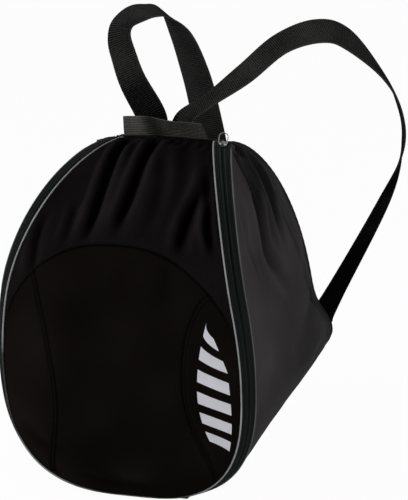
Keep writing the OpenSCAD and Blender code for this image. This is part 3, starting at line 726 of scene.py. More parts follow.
def front_point(s, t):
    """Place, outside and tone of the dressed front panel."""
    s, t = both(s, t)
    m = np.clip(s, FOOT_S + 2 * STEP, 1 - 2 * STEP)
    across = front_at(m, t + STEP) - front_at(m, t - STEP)
    out = unit(np.cross(across, front_at(m + STEP, t) - front_at(m - STEP, t)))
    base = front_at(s, t)
    height, folds = front_relief(base, s, t)
    return base + height[..., None] * out, out, folds


CLOTH_T = 1.6


def stuffed(name, face, material, body, slot, node, folds, out=None):
    """A stuffed panel of cloth, with the tone of its folds, which paints shade and highlights into its
    colour.
    """
    piece = add_piece(name, cloth_sheet(face, CLOTH_T, out), material, body, slot, node,
                      folds=np.tile(folds.ravel(), 2))


def front_piece(name, s, t, node, material=FRONT_CLOTH):
    face, out, folds = front_point(s, t)
    stuffed(name, face, material, "flap", "front_cloth", node, folds, out)


a, b = unit_grid(120, 170)
t = np.sin(np.pi * (0.5 - b))
front_piece("yoke_cloth_lit", mix(arch_s(t), 1.0, a), t, "front_yoke", YOKE_LIT_CLOTH)
a, b = unit_grid(150, 110)
t = mix(np.minimum(side_t(RIGHT_SEAM, a), 1.0), -np.minimum(side_t(LEFT_SEAM, a), 1.0), b)
front_piece("centre_cloth", lower_s(a, t), t, "front_centre_panel")
SIDE_START = 0.004
a, b = unit_grid(150, 40)
for name, sign, seam in BAG_SIDES:
    v = mix(side_tip(seam) + SIDE_START, 1.0, a)
    t = sign * mix(1.0, side_t(seam, v), b[:, ::sign])
    front_piece("side_cloth_" + name, lower_s(v, t), t, "front_side_" + name)

# Side seams: a narrow felled strip with a row of stitches along both edges
STRIP_FROM, STRIP_TO = -1.2, 4.0
STRIP_COLS, STRIP_T, STRIP_LIFT = 10, 0.5, 0.35
STRIP_ROUND = 6
STITCH_OFFS, SEAM_STITCH = (-0.5, 3.2), (2.6, 1.9, 0.28)
for name, sign, _ in BAG_SIDES:
    st = SIDES[sign][6:]
    columns = []
    for k in shares(STRIP_COLS)[::-sign]:
        p, out, _ = front_point(*shifted(st, -sign * mix(STRIP_FROM, STRIP_TO, k)).T)
        columns.append((p + STRIP_LIFT * (1 - abs(2 * k - 1) ** STRIP_ROUND) * out, out))
    face, out = (np.stack(c, 1) for c in zip(*columns))
    rows = []
    for offset in STITCH_OFFS:
        p, normal, _ = front_point(*shifted(st[4:-3], -sign * offset).T)
        rows.append(stitches(p + STRIP_LIFT * normal, normal, *SEAM_STITCH))
    strip = cloth_sheet(face, STRIP_T, out)
    add_piece("side_strip_" + name, strip, SEAM_TAPE, "flap", "front_cloth", "side_seam_" + name)
    add_piece("side_stitches_" + name, join(rows), THREAD, "flap", "front_cloth")

ARCH_STITCH_S = 0.0065
s, t = ARCH[6:-6].T
p, out, _ = front_point(s + ARCH_STITCH_S, t)
add_piece("arch_stitches", stitches(p, out), THREAD, "flap", "front_cloth", "arch_seam")

# Reflective print on the right side panel: a plain column of slanting bars that follows its outline
BAR_COUNT = 6
BAR_LOW_S, BAR_TOP_S = 0.29, 0.55
BAR_SHARE, BAR_SLANT, BAR_MARGIN = 0.56, 0.03, 0.1
BAR_ARCH_T = 0.75
BAR_FAR_S, BAR_FAR_T = (0.28, 0.46, 0.56), (0.955, 0.915, 0.8)
PRINT_T = 0.25


def bar(k):
    a, b = unit_grid(12, 30)
    pitch = (BAR_TOP_S - BAR_LOW_S) / BAR_COUNT
    middle = BAR_LOW_S + (k + 0.5) * pitch
    s = middle + (a - 0.5) * pitch * BAR_SHARE + BAR_SLANT * (b - 0.5)
    near = side_t(RIGHT_SEAM, (s - FOOT_S) / (arch_s(BAR_ARCH_T) - FOOT_S)) + BAR_MARGIN
    far = np.interp(s, BAR_FAR_S, BAR_FAR_T)
    p, out, _ = front_point(s, mix(far, near, b))
    return cloth_sheet(p + PRINT_T * out, PRINT_T, out)


add_piece("reflective_bars", join([bar(k) for k in range(BAR_COUNT)]), PRINT, "flap", "piping")

# Zip band
BAND_U = np.linspace(1, -1, 900)
BAND_RUN = along((rim_at(FRONT, BAND_U) + rim_at(OUTER, BAND_U)) / 2)
BAND_COUNT = 420


def band_frames(count):
    """Middle, width direction, outside and half width along the band, evenly spaced from the top right."""
    u = np.interp(np.linspace(0, BAND_RUN[-1], count), BAND_RUN, BAND_U)
    a = rim_at(FRONT, u)
    b = rim_at(OUTER, u)
    mid = (a + b) / 2
    across = unit(b - a)
    return mid, across, unit(np.cross(run_of(mid), across)), np.linalg.norm(b - a, axis=1) / 2


MID, ACROSS, OUT, HALF = band_frames(BAND_COUNT)
PIPING_R, PIPING_SIDES, PIPING_RISE = 0.8, 14, 0.4
# Where the pipings are darker: on the left from a height to another, and at the foot, each with its span
PIPING_DARK_LEFT, PIPING_DARK_LOW, PIPING_DARK_HIGH = (30, 30), (45, 25), (175, 30)
PIPING_DARK_FOOT, FOOT_DARKENING = (20, 14), 0.8
ZIP_SIDES = (("inner", -1, "flap", PIPING), ("outer", 1, "bag", DULL_PIPING))
k = np.arange(BAND_COUNT)
for name, sign, body, material in ZIP_SIDES:
    wobble = 1 + 0.03 * np.sin(k * 0.9) + 0.02 * np.sin(k * 2.3 + sign)
    centre = MID + (sign * HALF)[:, None] * ACROSS + PIPING_RISE * OUT
    x, z = centre[:, 0], centre[:, 2]
    darkening = above(-x, *PIPING_DARK_LEFT) * above(z, *PIPING_DARK_LOW) * below(z, *PIPING_DARK_HIGH)
    darkening = np.clip(darkening + FOOT_DARKENING * below(z, *PIPING_DARK_FOOT), 0, 1)
    made = cord(centre, ACROSS, OUT, PIPING_R * wobble, PIPING_SIDES)
    add_piece(name + "_piping_cord", made, material, body, "piping", name + "_piping",
              folds=np.repeat(-darkening, PIPING_SIDES))

TAPE_T, TAPE_COLS = 0.8, 40
TAPE_EDGE, TAPE_IN = 0.8, 3.1
TAPE_CORDS, TAPE_CORD_H = 2, 0.35
TAPE_STITCH = (3.2, 2.4, 0.3)
share = shares(TAPE_COLS)
x = mix(HALF[:, None] - TAPE_EDGE, TAPE_IN, share[None])
cords = -np.cos(2 * np.pi * TAPE_CORDS * share)
rise = TAPE_T / 2 + TAPE_CORD_H * cords
middle = mix(HALF - TAPE_EDGE, TAPE_IN, 0.5)
for name, sign, body, _ in ZIP_SIDES:
    face = MID[:, None] + sign * x[..., None] * ACROSS[:, None] + rise[None, :, None] * OUT[:, None]
    made = cloth_sheet(face[::-1, ::-sign], TAPE_T, np.broadcast_to(OUT[:, None], face.shape))
    # The tone follows the cords' height: painted shade between the cords and painted highlight on them
    add_piece("tape_cloth_" + name, made, TAPE_CLOTH, body, "zip_tape", "zip_tape_" + name,
              folds=np.tile(cords[::-sign], 2 * BAND_COUNT))
    line = MID + sign * middle[:, None] * ACROSS + (TAPE_T / 2 - TAPE_CORD_H) * OUT
    rows = stitches(line[3:-3], OUT[3:-3], *TAPE_STITCH)
    add_piece("tape_stitches_" + name, rows, THREAD, body, "zip_tape")

# Each half of the chain is a flattened coil of nylon, with the two threads that sew it to its tape
COIL_PITCH, COIL_STEPS = 1.9, 9
COIL_WIRE, COIL_SIDES = 0.42, 5
COIL_MID, COIL_REACH, COIL_RISE = 1.85, 1.45, 0.72
SEWN_AT, SEWN_R, SEWN_SIDES, SEWN_SINK = (2.1, 2.75), 0.3, 6, 0.08
turns = int(BAND_RUN[-1] / COIL_PITCH)
m, c, o, _ = band_frames(turns * COIL_STEPS)
for name, sign, body, _ in ZIP_SIDES:
    angle = 2 * np.pi * np.arange(turns * COIL_STEPS) / COIL_STEPS + (np.pi if sign > 0 else 0)
    x = COIL_MID - COIL_REACH * np.cos(angle)
    line = m + sign * x[:, None] * c + (COIL_RISE * np.sin(angle))[:, None] * o
    run = run_of(line)
    radial = unit(sign * (-np.cos(angle))[:, None] * c + np.sin(angle)[:, None] * o)
    radial = unit(radial - np.sum(radial * run, 1, keepdims=True) * run)
    parts = [cord(line, radial, np.cross(run, radial), COIL_WIRE, COIL_SIDES)]
    for offset in SEWN_AT:
        thread = MID + sign * offset * ACROSS + (COIL_RISE + COIL_WIRE - SEWN_SINK) * OUT
        parts.append(cord(thread, ACROSS, OUT, SEWN_R, SEWN_SIDES))
    add_piece("coil_" + name, join(parts), COIL, body, "zip_chain", "zip_chain_" + name)

# Base: flat under the bag, with lips that rise to the front piping and to the back panel
BASE_HALF, BASE_T = 51.2, 2.0
BASE_FRONT_S, BASE_BACK_S = 0.065, 0.093
FLAT_FRONT, FLAT_BACK = -117.5, 135.0
LIP_ROWS, FLAT_ROWS, BASE_COLS = 12, 40, 40
LIP_FRONT, LIP_BACK, LIP_BEND = 1.5, -1.0, 1.3


def base_face():
    """Underside of the base, from its lip at the front piping to its lip at the back panel."""
    x = np.linspace(-1, 1, BASE_COLS)
    front = rim_at(OUTER, -x * BASE_FRONT_S)
    back = back_at(np.full(BASE_COLS, BASE_BACK_S), x)
    x = x * BASE_HALF
    front_edge = stack(x, front[:, 1] + LIP_FRONT, front[:, 2])
    back_edge = stack(x, back[:, 1] + LIP_BACK, back[:, 2])
    front_flat, back_flat = stack(x, FLAT_FRONT, 0.0), stack(x, FLAT_BACK, 0.0)
    bend = np.linspace(1, 0, LIP_ROWS, endpoint=False)[:, None, None] ** LIP_BEND
    flat = mix(front_flat, back_flat, shares(FLAT_ROWS)[:, None, None])
    return np.concatenate([mix(front_flat, front_edge, bend), flat,
                           mix(back_flat, back_edge, bend[::-1])])


# Gussets
FOOT_X, FOOT_SOFT, FOOT_RISE = 52.35, 1.0, 1.0
GUSSET_ROWS, GUSSET_COLS, GUSSET_FOOT_ROWS = 170, 130, 14
GUSSET_EDGE = (0.004, 0.996)
GUSSET_RIM, GUSSET_TOP_RIM = 0.05, 0.03
GUSSET_BROAD, GUSSET_FINE = ((4, 6, 9, 14), 90.0, 1.5), ((22, 35, 56), 30.0, 0.35)
RIPPLE_SHIFT = 40
# Gusset tone: a slight lift all over, painted light at the front by the zip, and painted shade on the upper
# part towards the back, each with its place and span
GUSSET_LIFT, PAINTED_FRONT_LIGHT, PAINTED_FRONT_LIGHT_T, PAINTED_FRONT_LIGHT_S = 0.1, 0.8, (0.42, 0.36), (0.25, 0.25)
PAINTED_TOP_SHADE, PAINTED_TOP_SHADE_T, PAINTED_TOP_SHADE_S = 1.5, (0.1, 0.3), (0.62, 0.22)
GUSSET_FOLDS = [
    ([(0.95, 0.17), (0.908, 0.197), (0.84, 0.247), (0.779, 0.298), (0.745, 0.29)], 2.6, 2.8, 0.15, 0.35),
    ([(0.83, 0.36), (0.788, 0.32), (0.713, 0.29), (0.64, 0.3), (0.581, 0.41), (0.534, 0.54)],
     3.4, 9.0, 0.25, 0.35),
    ([(0.93, 0.74), (0.807, 0.64), (0.743, 0.58), (0.675, 0.56), (0.61, 0.55)], 4.0, 11.0, 0.25, 0.4),
    ([(0.76, 0.66), (0.717, 0.7), (0.651, 0.76), (0.59, 0.8), (0.55, 0.8)], -1.6, 5.0, 0.3, 0.3),
    ([(0.985, 0.62), (0.93, 0.5), (0.87, 0.42)], 3.0, 6.0, 0.2, 0.4),
    ([(0.8, 0.06), (0.776, 0.07), (0.701, 0.08), (0.649, 0.134), (0.6, 0.17)], 1.3, 4.0, 0.3, 0.4),
    ([(0.559, 0.759), (0.5, 0.85), (0.456, 0.923), (0.402, 0.93)], 2.4, 8.0, 0.3, 0.3),
    ([(0.46, 0.97), (0.45, 0.8), (0.44, 0.6)], 2.0, 9.0, 0.15, 0.6),
    ([(0.36, 0.98), (0.36, 0.84), (0.34, 0.66), (0.31, 0.5)], 2.2, 9.0, 0.15, 0.6),
    ([(0.28, 0.9), (0.22, 0.7), (0.2, 0.5)], 1.8, 10.0, 0.3, 0.5),
    ([(0.17, 0.2), (0.16, 0.45), (0.17, 0.7)], 1.6, 8.0, 0.4, 0.4),
]


def gusset_face(sign):
    """Outer face of a gusset, from its foot on the base up to the ridge, and its tone."""
    t = np.linspace(*GUSSET_EDGE, GUSSET_COLS)
    low = mix(BASE_FRONT_S, BASE_BACK_S, t)
    s = mix(low[None], 1.0, shares(GUSSET_ROWS)[:, None])
    p = gusset_at(s, t[None])
    past = p[..., 0] - FOOT_X
    p[..., 0] = FOOT_X + 0.5 * (past + np.hypot(past, FOOT_SOFT))
    base_side = base_face()[:, -1]
    base_z = np.interp(p[0, :, 1], base_side[:, 1], base_side[:, 2])
    foot = stack(FOOT_X, p[0, :, 1], np.minimum(base_z + FOOT_RISE, p[0, :, 2]))
    k = np.linspace(0, 1, GUSSET_FOOT_ROWS, endpoint=False)[:, None, None]
    p = np.concatenate([mix(foot[None], p[:1], k), p])
    s = np.concatenate([np.broadcast_to(low[None], (GUSSET_FOOT_ROWS, GUSSET_COLS)), s])
    t = np.broadcast_to(t[None], s.shape)
    rim = above(t, 0, GUSSET_RIM) * below(t, 1, GUSSET_RIM) * above(s, low, GUSSET_RIM)
    rim = rim * below(s, 1, GUSSET_TOP_RIM)
    height = folds_on(p, gusset_at, GUSSET_FOLDS)
    height += ripple(p + RIPPLE_SHIFT * sign, *GUSSET_BROAD) + ripple(p, *GUSSET_FINE)
    p = p - (height * rim)[..., None] * normals_of(p)
    # Painted light at the front by the zip and painted shade at the upper back, over the folds' painted shade
    # and highlights
    tone = GUSSET_LIFT + PAINTED_FRONT_LIGHT * below(t, *PAINTED_FRONT_LIGHT_T) * above(s, *PAINTED_FRONT_LIGHT_S)
    tone = tone - PAINTED_TOP_SHADE * above(s, *PAINTED_TOP_SHADE_S) * above(t, *PAINTED_TOP_SHADE_T)
    return p * x_times(sign), np.clip(height * rim / FOLD_FULL + tone, -1, 1)


for name, sign, _ in BAG_SIDES:
    face, folds = gusset_face(sign)
    stuffed("gusset_cloth_" + name, face[:, ::-sign], BODY_CLOTH, "bag", "body_cloth", "gusset_" + name,
            folds[:, ::-sign])

# Back panel
BACK_RIM = (0.06, 0.04, 0.03)
BACK_RIPPLE = ((7, 11, 17, 23), 100.0, 1.2)
PAIRED_FOLDS = [
    ([(0.4, 0.95), (0.45, 0.6), (0.52, 0.2)], 2.6, 9.0, 0.2, 0.6),
    ([(0.36, 0.9), (0.3, 0.5), (0.27, 0.1)], 2.2, 9.0, 0.2, 0.6),
    ([(0.9, 0.5), (0.8, 0.42), (0.7, 0.45)], 2.0, 6.0, 0.2, 0.6),
]
BACK_FOLDS = [([(s, side * t) for s, t in places], *form)
              for places, *form in PAIRED_FOLDS for side in (1, -1)]
BACK_FOLDS.append(([(0.18, -0.6), (0.17, 0.0), (0.18, 0.6)], 2.0, 8.0, 0.3, 0.3))
a, b = unit_grid(150, 120)
s = mix(BASE_BACK_S, 1.0, a)
t = 2 * b - 1
face = back_at(s, t)
rim = below(np.abs(t), 1, BACK_RIM[0]) * above(s, BASE_BACK_S, BACK_RIM[1]) * below(s, 1, BACK_RIM[2])
height = (folds_on(face, back_at, BACK_FOLDS) + ripple(face, *BACK_RIPPLE)) * rim
face = face + height[..., None] * normals_of(face)
# The back panel's folds give it painted shade and highlights
stuffed("back_cloth", face, BODY_CLOTH, "bag", "body_cloth", "back_panel", np.clip(height / FOLD_FULL, -1, 1))

# Bound seam between each gusset and the back panel
BINDING_R, BINDING_ROWS, BINDING_SIDES = 1.7, 260, 10
wobble = BINDING_R * (1 + 0.05 * np.sin(np.arange(BINDING_ROWS) * 1.1))
parts = []
for _, sign, _ in BAG_SIDES:
    line = resample(rim_at(BACK, np.linspace(BASE_BACK_S, 1, 200)) * x_times(sign), BINDING_ROWS)
    run = run_of(line)
    side = unit(np.cross(run, np.cross(np.array([sign * 0.8, 0.6, 0.0]), run)))
    parts.append(cord(line, side, np.cross(run, side), wobble, BINDING_SIDES))
add_piece("back_binding", join(parts), BODY_CLOTH, "bag", "body_cloth", "back_seam")

made = cloth_sheet(base_face(), BASE_T)
piece = add_piece("base_cloth", made, BODY_CLOTH, "bag", "body_cloth", "base_panel")

# Webbing
RIB_DEPTH, RIB_STEPS = 0.11, 5
SELVAGE_TURN = np.radians(np.linspace(-90, 90, 5)[1:-1])
WEB_COLS, ROUTE_POINTS = 7, 2000
CURL_MEAN = 0.33


def strap_ring(half, thick, count):
    """Cross-section of webbing: two faces and rounded selvages, as places across and out."""
    flat = np.linspace(-1, 1, count)
    r = thick / 2
    inner = half - r
    end = inner + r * np.cos(SELVAGE_TURN)
    side = r * np.sin(SELVAGE_TURN)
    x = np.concatenate([flat * inner, end, -flat * inner, -end])
    y = np.concatenate([np.full(count, -r), side, np.full(count, r), -side])
    return x, y


def webbing(route, turns, half_width, thick, ends, curl, cols=WEB_COLS, lengthwise=False):
    """Ribbed webbing along a route, and how many rings it has. ends gives the share of the width at each end
    and over how much of the length it widens."""
    t = shares(ROUTE_POINTS)
    line = np.hstack([curve_at(route, t), curve_at(turns, t)])
    count = int(along(line[:, :3])[-1] / RIB * RIB_STEPS)
    line = resample(line, count)
    centre, hint = line[:, :3], line[:, 3:]
    run = run_of(centre)
    side = unit(hint - np.sum(hint * run, 1, keepdims=True) * run)
    up = np.cross(run, side)
    share = shares(count)
    first, last, span = ends
    width = mix(first, 1.0, above(share, 0, span)) * mix(last, 1.0, below(share, 1, span))
    x, y = strap_ring(half_width, thick, cols)
    reach = x[None] * width[:, None]
    turn = x[None] / CORD_PITCH if lengthwise else np.arange(count)[:, None] / RIB_STEPS
    ribs = RIB_DEPTH * np.sin(2 * np.pi * turn)
    edge = 1 - np.clip(np.abs(x) - half_width + SELVAGE, 0, 1)
    lift = y[None] + np.sign(y)[None] * ribs * edge[None]
    lift = lift + curl * ((reach / half_width) ** 2 - CURL_MEAN)
    rings = centre[:, None] + reach[..., None] * side[:, None] + lift[..., None] * up[:, None]
    return loft(rings, np.concatenate([x, x[:1]])), count


STRAP_T, STRAP_CURL = 1.8, 0.5
STRAP_ENDS = (0.5, 0.92, 0.022)
RIGHT_ROOT, RIGHT_RISE = np.array([6.0, 15.0, 339.4]), np.array([1.0, 3.0, 18.0])
LEFT_ROOT, LEFT_RISE = np.array([-24.0, 11.5, 341.0]), np.array([-3.0, 3.0, 18.0])
TAB_Z, TAB_SHARE, TAB_REACH, TAB_PROUD = 100.0, 0.84, 16.0, 2.6
CAD_TUCK = 1.95
TIP_GAP, TIP_LEAD = 0.1, 24.0
RIGHT_TAB_OUT = unit(np.array([0.45, 0.35, 0.82]))
LEFT_TAB_OUT = unit(np.array([0.35, 0.3, 0.88]))
tab_s = rim_s(BACK, TAB_Z)
tab_root = back_at(tab_s, TAB_SHARE) + np.array([TAB_SHARE * (TUCK - CAD_TUCK), TAB_PROUD, 0.0])
left_tab_root = tab_root * x_times(-1)
right_tip = tab_root + (TAB_REACH + TIP_GAP) * RIGHT_TAB_OUT
left_tip = left_tab_root + (TAB_REACH + TIP_GAP) * LEFT_TAB_OUT

# The right strap bows out from the straight line between its ends: a share of that line, and how far off it
RIGHT_BENDS = [(0.06, 18, -1, 50), (0.12, 47, -1, 91), (0.19, 74, 1, 137), (0.29, 98, 4, 171),
               (0.41, 110, 5, 188), (0.53, 128, 9, 178), (0.63, 133, 11, 163), (0.73, 124, 9, 141),
               (0.84, 89, 9, 100)]
RIGHT_TURNS = [(1, 0, 0), (0.65, -0.7, -0.25), (0.45, -0.85, -0.25), (0.6, -0.7, -0.4), (0.6, -0.65, -0.45),
               (0.45, -0.6, -0.65), (0.15, -0.75, -0.6), (0.35, -0.9, -0.3), (0.4, -0.85, -0.3),
               (0.2, -0.9, -0.35), (-0.35, -0.95, -0.1), (-0.52, -0.8, 0.22), (-0.66, -0.46, 0.6)]
# The left strap rises in a loop over its root, then lies on the back panel
LEFT_LOOP = [(-24, 8, 51), (-35, 12, 76), (-42, 18, 94), (-41, 26, 108), (-31, 38, 117), (-19, 50, 120),
             (-8, 64, 116), (6, 76, 93), (18, 82, 59), (29, 82, 21)]
LEFT_BACK = [(0.74, 0.2), (0.66, 0.02), (0.57, -0.26), (0.49, -0.54)]
LEFT_OFF = 7.0 * np.array([0, 0.8, 0.6])
LEFT_TURNS = [(1, 0, 0), (0.9, 0.05, 0.4), (0.9, -0.15, 0.45), (0.85, -0.25, 0.4), (0.9, -0.35, 0.3),
              (0.9, -0.45, -0.05), (0.75, -0.55, -0.35), (0.7, -0.65, -0.3), (0.6, -0.8, -0.2),
              (0.85, -0.5, 0.2), (0.95, -0.2, 0.3), (1, 0, 0.2), (0.95, 0.1, -0.2), (0.85, 0.1, -0.45),
              (0.8, 0.05, -0.55), (0.85, 0, -0.45), (0.92, 0, -0.37), (0.92, 0, -0.37)]
# Tone along each strap, by shares of its length: none on the right; on the left, painted shade on the low leg
# at its root and painted light along the rest
PLAIN_TONE = (0.0, 1.0), (0.0, 0.0)
LEFT_STRAP_SHADING = (0.0, 0.07, 0.14, 0.24, 0.3, 1.0), (-1.0, -0.8, -0.2, 0.0, 0.5, 0.5)

right_way = [RIGHT_ROOT, RIGHT_ROOT + RIGHT_RISE]
right_way += [mix(RIGHT_ROOT, right_tip, share) + np.array(off) for share, *off in RIGHT_BENDS]
left_way = [LEFT_ROOT, LEFT_ROOT + LEFT_RISE] + [LEFT_ROOT + np.array(off) for off in LEFT_LOOP]
left_way += [back_at(s, t) + LEFT_OFF for s, t in LEFT_BACK]
for name, body, way, turns, tip, out, tone in (
        ("right", "right_strap", right_way, RIGHT_TURNS, right_tip, RIGHT_TAB_OUT, PLAIN_TONE),
        ("left", "left_strap", left_way, LEFT_TURNS, left_tip, LEFT_TAB_OUT, LEFT_STRAP_SHADING)):
    way = way + [tip + TIP_LEAD * out, tip]
    made, rings = webbing(way, turns, STRAP_HALF, STRAP_T, STRAP_ENDS, STRAP_CURL)
    piece = add_piece("strap_webbing_" + name, made, STRAP, None, "webbing", "strap_" + name,
                      folds=np.repeat(np.interp(shares(rings), *tone), len(made[0]) // rings))
    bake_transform(piece)

# Corner tabs
TAB_FOOT_W, TAB_RINGS = 40.0, 40
TAB_STITCHES_AT, TAB_STITCHES_HALF = (0.12, 0.3), np.linspace(-0.82, 0.82, 30)[:, None]
k = shares(TAB_RINGS)
half = mix(TAB_FOOT_W, STRAP_ENDS[1] * 2 * STRAP_HALF, k) / 2
x, y = strap_ring(TAB_FOOT_W / 2, STRAP_T, WEB_COLS)
for name, root, out, foot_turn, tip_turn in (
        ("right", tab_root, RIGHT_TAB_OUT, (0.85, -0.07, -0.44), (0.66, 0.46, -0.6)),
        ("left", left_tab_root, LEFT_TAB_OUT, (0.93, 0.07, -0.4), (0.92, 0.0, -0.37))):
    turn = mix(unit(np.array(foot_turn)), unit(np.array(tip_turn)), k[:, None])
    side = unit(turn - (turn @ out)[:, None] * out)
    up = np.cross(out, side)
    centre = root + (TAB_REACH * k)[:, None] * out
    rings = centre[:, None] + (x[None] * (2 * half / TAB_FOOT_W)[:, None])[..., None] * side[:, None]
    rings = rings + y[None, :, None] * up[:, None]
    rows = []
    for face in (1, -1):
        for share in TAB_STITCHES_AT:
            i = int(share * (TAB_RINGS - 1))
            line = centre[i] + TAB_STITCHES_HALF * half[i] * side[i] + face * STRAP_T / 2 * up[i]
            rows.append(stitches(line, np.tile(face * up[i], (len(line), 1))))
    web = loft(rings, np.concatenate([x, x[:1]]))
    add_piece("tab_webbing_" + name, web, STRAP, "bag", "webbing", "strap_tab_" + name)
    add_piece("tab_stitches_" + name, join(rows), THREAD, "bag", "webbing")

# Patch on the back of the ridge, sewn down with a crossed box
PATCH_HALF, PATCH_T, PATCH_LIFT = 30.0, 2.2, 2.85
PATCH_LOW_S, PATCH_TOP_S = 0.9, 0.99
PATCH_OUT = unit(np.array([0, 0.35, 0.94]))
BOX_CORNERS = ((8, 8), (8, 61), (51, 61), (51, 8))
BOX_LINES = ((0, 1), (1, 2), (2, 3), (3, 0), (0, 2), (1, 3))
BOX_POINTS = 40
a, b = unit_grid(60, 70)
face = back_at(mix(PATCH_LOW_S, PATCH_TOP_S, a), PATCH_HALF / BACK["x"][3] * (2 * b - 1))
face = face + PATCH_LIFT * PATCH_OUT
add_piece("patch_webbing", cloth_sheet(face, PATCH_T), STRAP, "bag", "webbing", "strap_patch")
out = normals_of(face)
rows = []
for first, last in BOX_LINES:
    i, j = np.rint(np.linspace(BOX_CORNERS[first], BOX_CORNERS[last], BOX_POINTS)).astype(int).T
    rows.append(stitches(resample(face[i, j], BOX_POINTS), out[i, j]))
add_piece("patch_stitches", join(rows), THREAD, "bag", "webbing")

# Ridge: a rolled, gathered seam in front, and the tape behind it
ROLL_HALF, ROLL_ROWS, ROLL_SIDES = 45.9, 240, 14
ROLL_R, ROLL_GATHER, ROLL_PITCH, ROLL_WAVE = 1.9, 0.12, 3.1, 0.05
ROLL_SHADE = -0.6
HINGE_Y, HINGE_Z = -12.0, 340.0
x = np.linspace(-ROLL_HALF, ROLL_HALF, ROLL_ROWS)
line = stack(x, HINGE_Y, HINGE_Z)
radius = ROLL_R - ROLL_GATHER * np.abs(np.sin(np.pi * x / ROLL_PITCH)) - ROLL_WAVE * np.sin(x * 1.7)
made = cord(line, ALONG_Y, ALONG_Z, radius, ROLL_SIDES)
# The gathered roll under the handle is darkened all along: painted shade
add_piece("ridge_gather", made, FRONT_CLOTH, "bag", "front_cloth", "ridge_roll",
          folds=np.full(ROLL_ROWS * ROLL_SIDES, ROLL_SHADE))
TAPE_HALF, RIDGE_T = 54.0, 1.9
RIDGE_FRONT, RIDGE_BACK, RIDGE_Z = -9.1, -0.3, 339.0
RIDGE_WAVE, RIDGE_RISE, RISE_FROM, RISE_SPAN = 0.15, 0.8, -6.0, 5.7
x = np.linspace(-TAPE_HALF, TAPE_HALF, 120)[None, ::-1]
y = np.linspace(RIDGE_FRONT, RIDGE_BACK, 12)[::-1, None]
z = RIDGE_Z + RIDGE_WAVE * np.sin(x * 0.5) + RIDGE_RISE * above(y, RISE_FROM, RISE_SPAN)
add_piece("ridge_binding", cloth_sheet(stack(x, y, z), RIDGE_T), STRAP, "bag", "webbing", "ridge_tape")

# Grab handle: a slack band with ribs along it, drawn down at its right end and tacked at both ends
HANDLE_X, HANDLE_HALF_L, HANDLE_W, HANDLE_T = -4.0, 45.0, 18.8, 1.8
HANDLE_LOW, HANDLE_BOW, HANDLE_CURL = 341.4, 1.2, 0.3
HANDLE_Y, HANDLE_Z = -7.45, 340.75
HANDLE_SWAY, HANDLE_TWIST = 0.5, 0.04
HANDLE_ENDS, HANDLE_COLS = (0.98, 0.98, 0.03), 60
LEFT_UP, LEFT_UP_AT, RIGHT_DOWN, RIGHT_DOWN_AT = 1.5, (10, 20), 2.5, (-20, 25)
LEAN_FROM, LEAN_SPAN, LEAN = 6.0, 35.0, 0.5
DENT_X, DENT_SLANT, DENT_W, DENT = -17, 10, 9, 1.2
LEFT_LIGHT, LEFT_LIGHT_AT = 0.4, (22, 14)
v = np.linspace(1, -1, 15)
route = stack(HANDLE_X + v * HANDLE_HALF_L, HANDLE_Y + HANDLE_SWAY * np.sin(2.1 * v + 0.4),
              HANDLE_LOW + HANDLE_W / 2 + HANDLE_BOW * (1 - v * v))
turns = stack(0.0, HANDLE_TWIST * np.sin(2.6 * v), 1.0)
made, _ = webbing(route, turns, HANDLE_W / 2, HANDLE_T, HANDLE_ENDS, HANDLE_CURL, HANDLE_COLS, True)
x, y, z = made[0].T
rise = (z - HANDLE_LOW) / HANDLE_W
z += rise * (LEFT_UP * above(-x, *LEFT_UP_AT) - RIGHT_DOWN * above(x, *RIGHT_DOWN_AT))
x -= LEAN * above(x, LEAN_FROM, LEAN_SPAN) * rise * HANDLE_W
dent = np.exp(-((x - DENT_X + DENT_SLANT * (rise - 0.5)) / DENT_W) ** 2)
y += DENT * dent * ease(2 * rise)
# Tone: painted light at the left end of the band, and painted shade in its dent, where the strap's shadow
# falls
add_piece("handle_band", made, HANDLE, "handle", "handle_webbing", "grab_handle",
          folds=LEFT_LIGHT * above(-x, *LEFT_LIGHT_AT) - dent)
TACK_L, TACK_GAP, TACK_POINTS = 4.5, 0.35, 24
TACK_THREADS, TACK_R, TACK_TURN = 6, 0.8, 0.5
TACK_THREAD_R, TACK_SIDES = 0.55, 8
for name, start in (("right", HANDLE_X + HANDLE_HALF_L + TACK_GAP),
                    ("left", HANDLE_X - HANDLE_HALF_L - TACK_GAP - TACK_L)):
    parts = []
    for k in range(TACK_THREADS):
        x = start + np.linspace(0, TACK_L, TACK_POINTS)
        angle = 2 * np.pi * k / TACK_THREADS + TACK_TURN * (x - start)
        line = stack(x, HANDLE_Y + TACK_R * np.cos(angle), HANDLE_Z + TACK_R * np.sin(angle))
        parts.append(cord(line, ALONG_Y, ALONG_Z, TACK_THREAD_R, TACK_SIDES))
    add_piece("handle_tack_thread_" + name, join(parts), THREAD, "bag", "handle_webbing",
              "handle_tack_" + name)

# Metal pieces keep their solids
BEVEL_W = 0.00018
for name in ("zip_slider", "zip_pull", "zip_stops"):
    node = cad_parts[name]
    node.data.materials.clear()
    node.data.materials.append(NICKEL)
    edges = node.modifiers.new("edges", "BEVEL")
    edges.width = BEVEL_W
    edges.segments = 2
    edges.limit_method = "ANGLE"

# Floor, light and camera
FLOOR_HALF, FLOOR_GREY, FLOOR_ROUGH = 15.0, (0.9, 0.9, 0.9, 1), 0.9
FLOOR_WHITE = 0.97
FILL_LIGHT = 0.12


def white_for_camera(tree):
    """1 for what the camera sees, also in metal, and 0 for light that falls on the object."""
    path = add_node(tree, "LightPath")
    seen = calc("MAXIMUM", path.outputs["Is Camera Ray"], path.outputs["Is Glossy Ray"])
    return calc("MAXIMUM", seen, path.outputs["Is Transmission Ray"])


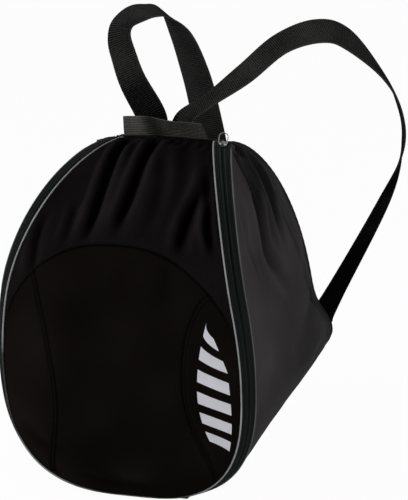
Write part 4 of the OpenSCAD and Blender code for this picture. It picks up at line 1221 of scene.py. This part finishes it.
def make_floor():
    mesh = bpy.data.meshes.new("floor")
    corners = [(x * FLOOR_HALF, y * FLOOR_HALF, 0) for x, y in ((-1, -1), (1, -1), (1, 1), (-1, 1))]
    mesh.from_pydata(corners, [], [(0, 1, 2, 3)])
    material, tree = new_material("floor_white")
    shader = tree.nodes[SHADER]
    settle(shader, Base_Color=FLOOR_GREY, Roughness=FLOOR_ROUGH)
    glow = add_node(tree, "Emission", Strength=1.0)
    blend = add_node(tree, "MixShader", Fac=times(white_for_camera(tree), FLOOR_WHITE))
    plug(shader.outputs[0], blend.inputs[1])
    plug(glow.outputs[0], blend.inputs[2])
    plug(blend.outputs[0], tree.nodes["Material Output"].inputs["Surface"])
    mesh.materials.append(material)
    put("floor", mesh)


def make_world():
    world = bpy.data.worlds.new("studio")
    bpy.context.scene.world = world
    world.use_nodes = True
    tree = world.node_tree
    settle(tree.nodes["Background"], Color=(1, 1, 1, 1),
           Strength=spread(white_for_camera(tree), FILL_LIGHT, 1.0))


def face_to(thing, place, aim):
    thing.location = place
    thing.rotation_euler = (aim - place).to_track_quat("-Z", "Y").to_euler()


def make_lamp(name, place, aim, size, power):
    lamp = bpy.data.lights.new(name, "AREA")
    lamp.size = size
    lamp.energy = power
    face_to(put(name, lamp), Vector(place), Vector(aim))


make_floor()
make_world()
make_lamp("key", (-1.6, -1.2, 1.6), (0.0, 0.0, 0.2), 0.8, 30.0)
make_lamp("side", (1.9, -1.4, 0.5), (0.05, 0.0, 0.18), 1.0, 18.0)
make_lamp("top", (-0.4, 0.3, 2.2), (0.0, 0.0, 0.2), 1.4, 4.0)

AZIMUTH, ELEVATION, DISTANCE = math.radians(18), math.radians(15.2), 2.2
FOCAL_PX = 2200.0
IMAGE_W, IMAGE_H = 408, 500
ORIGIN_PX = (150.0, 330.0)
AIM = Vector((0.0, -0.075, 0.158))
SENSOR = 36.0
right = Vector((math.cos(AZIMUTH), math.sin(AZIMUTH), 0))
back = Vector((math.sin(AZIMUTH) * math.cos(ELEVATION), -math.cos(AZIMUTH) * math.cos(ELEVATION),
               math.sin(ELEVATION)))
up = back.cross(right)
metres = DISTANCE / FOCAL_PX
target = AIM + right * (IMAGE_W / 2 - ORIGIN_PX[0]) * metres + up * (ORIGIN_PX[1] - IMAGE_H / 2) * metres
camera_data = bpy.data.cameras.new("camera")
camera_data.sensor_width = SENSOR
camera_data.lens = FOCAL_PX / IMAGE_H * SENSOR
camera = put("camera", camera_data)
face_to(camera, AIM + back * DISTANCE, target)
bpy.context.scene.camera = camera
bpy.context.scene.view_settings.view_transform = "Standard"
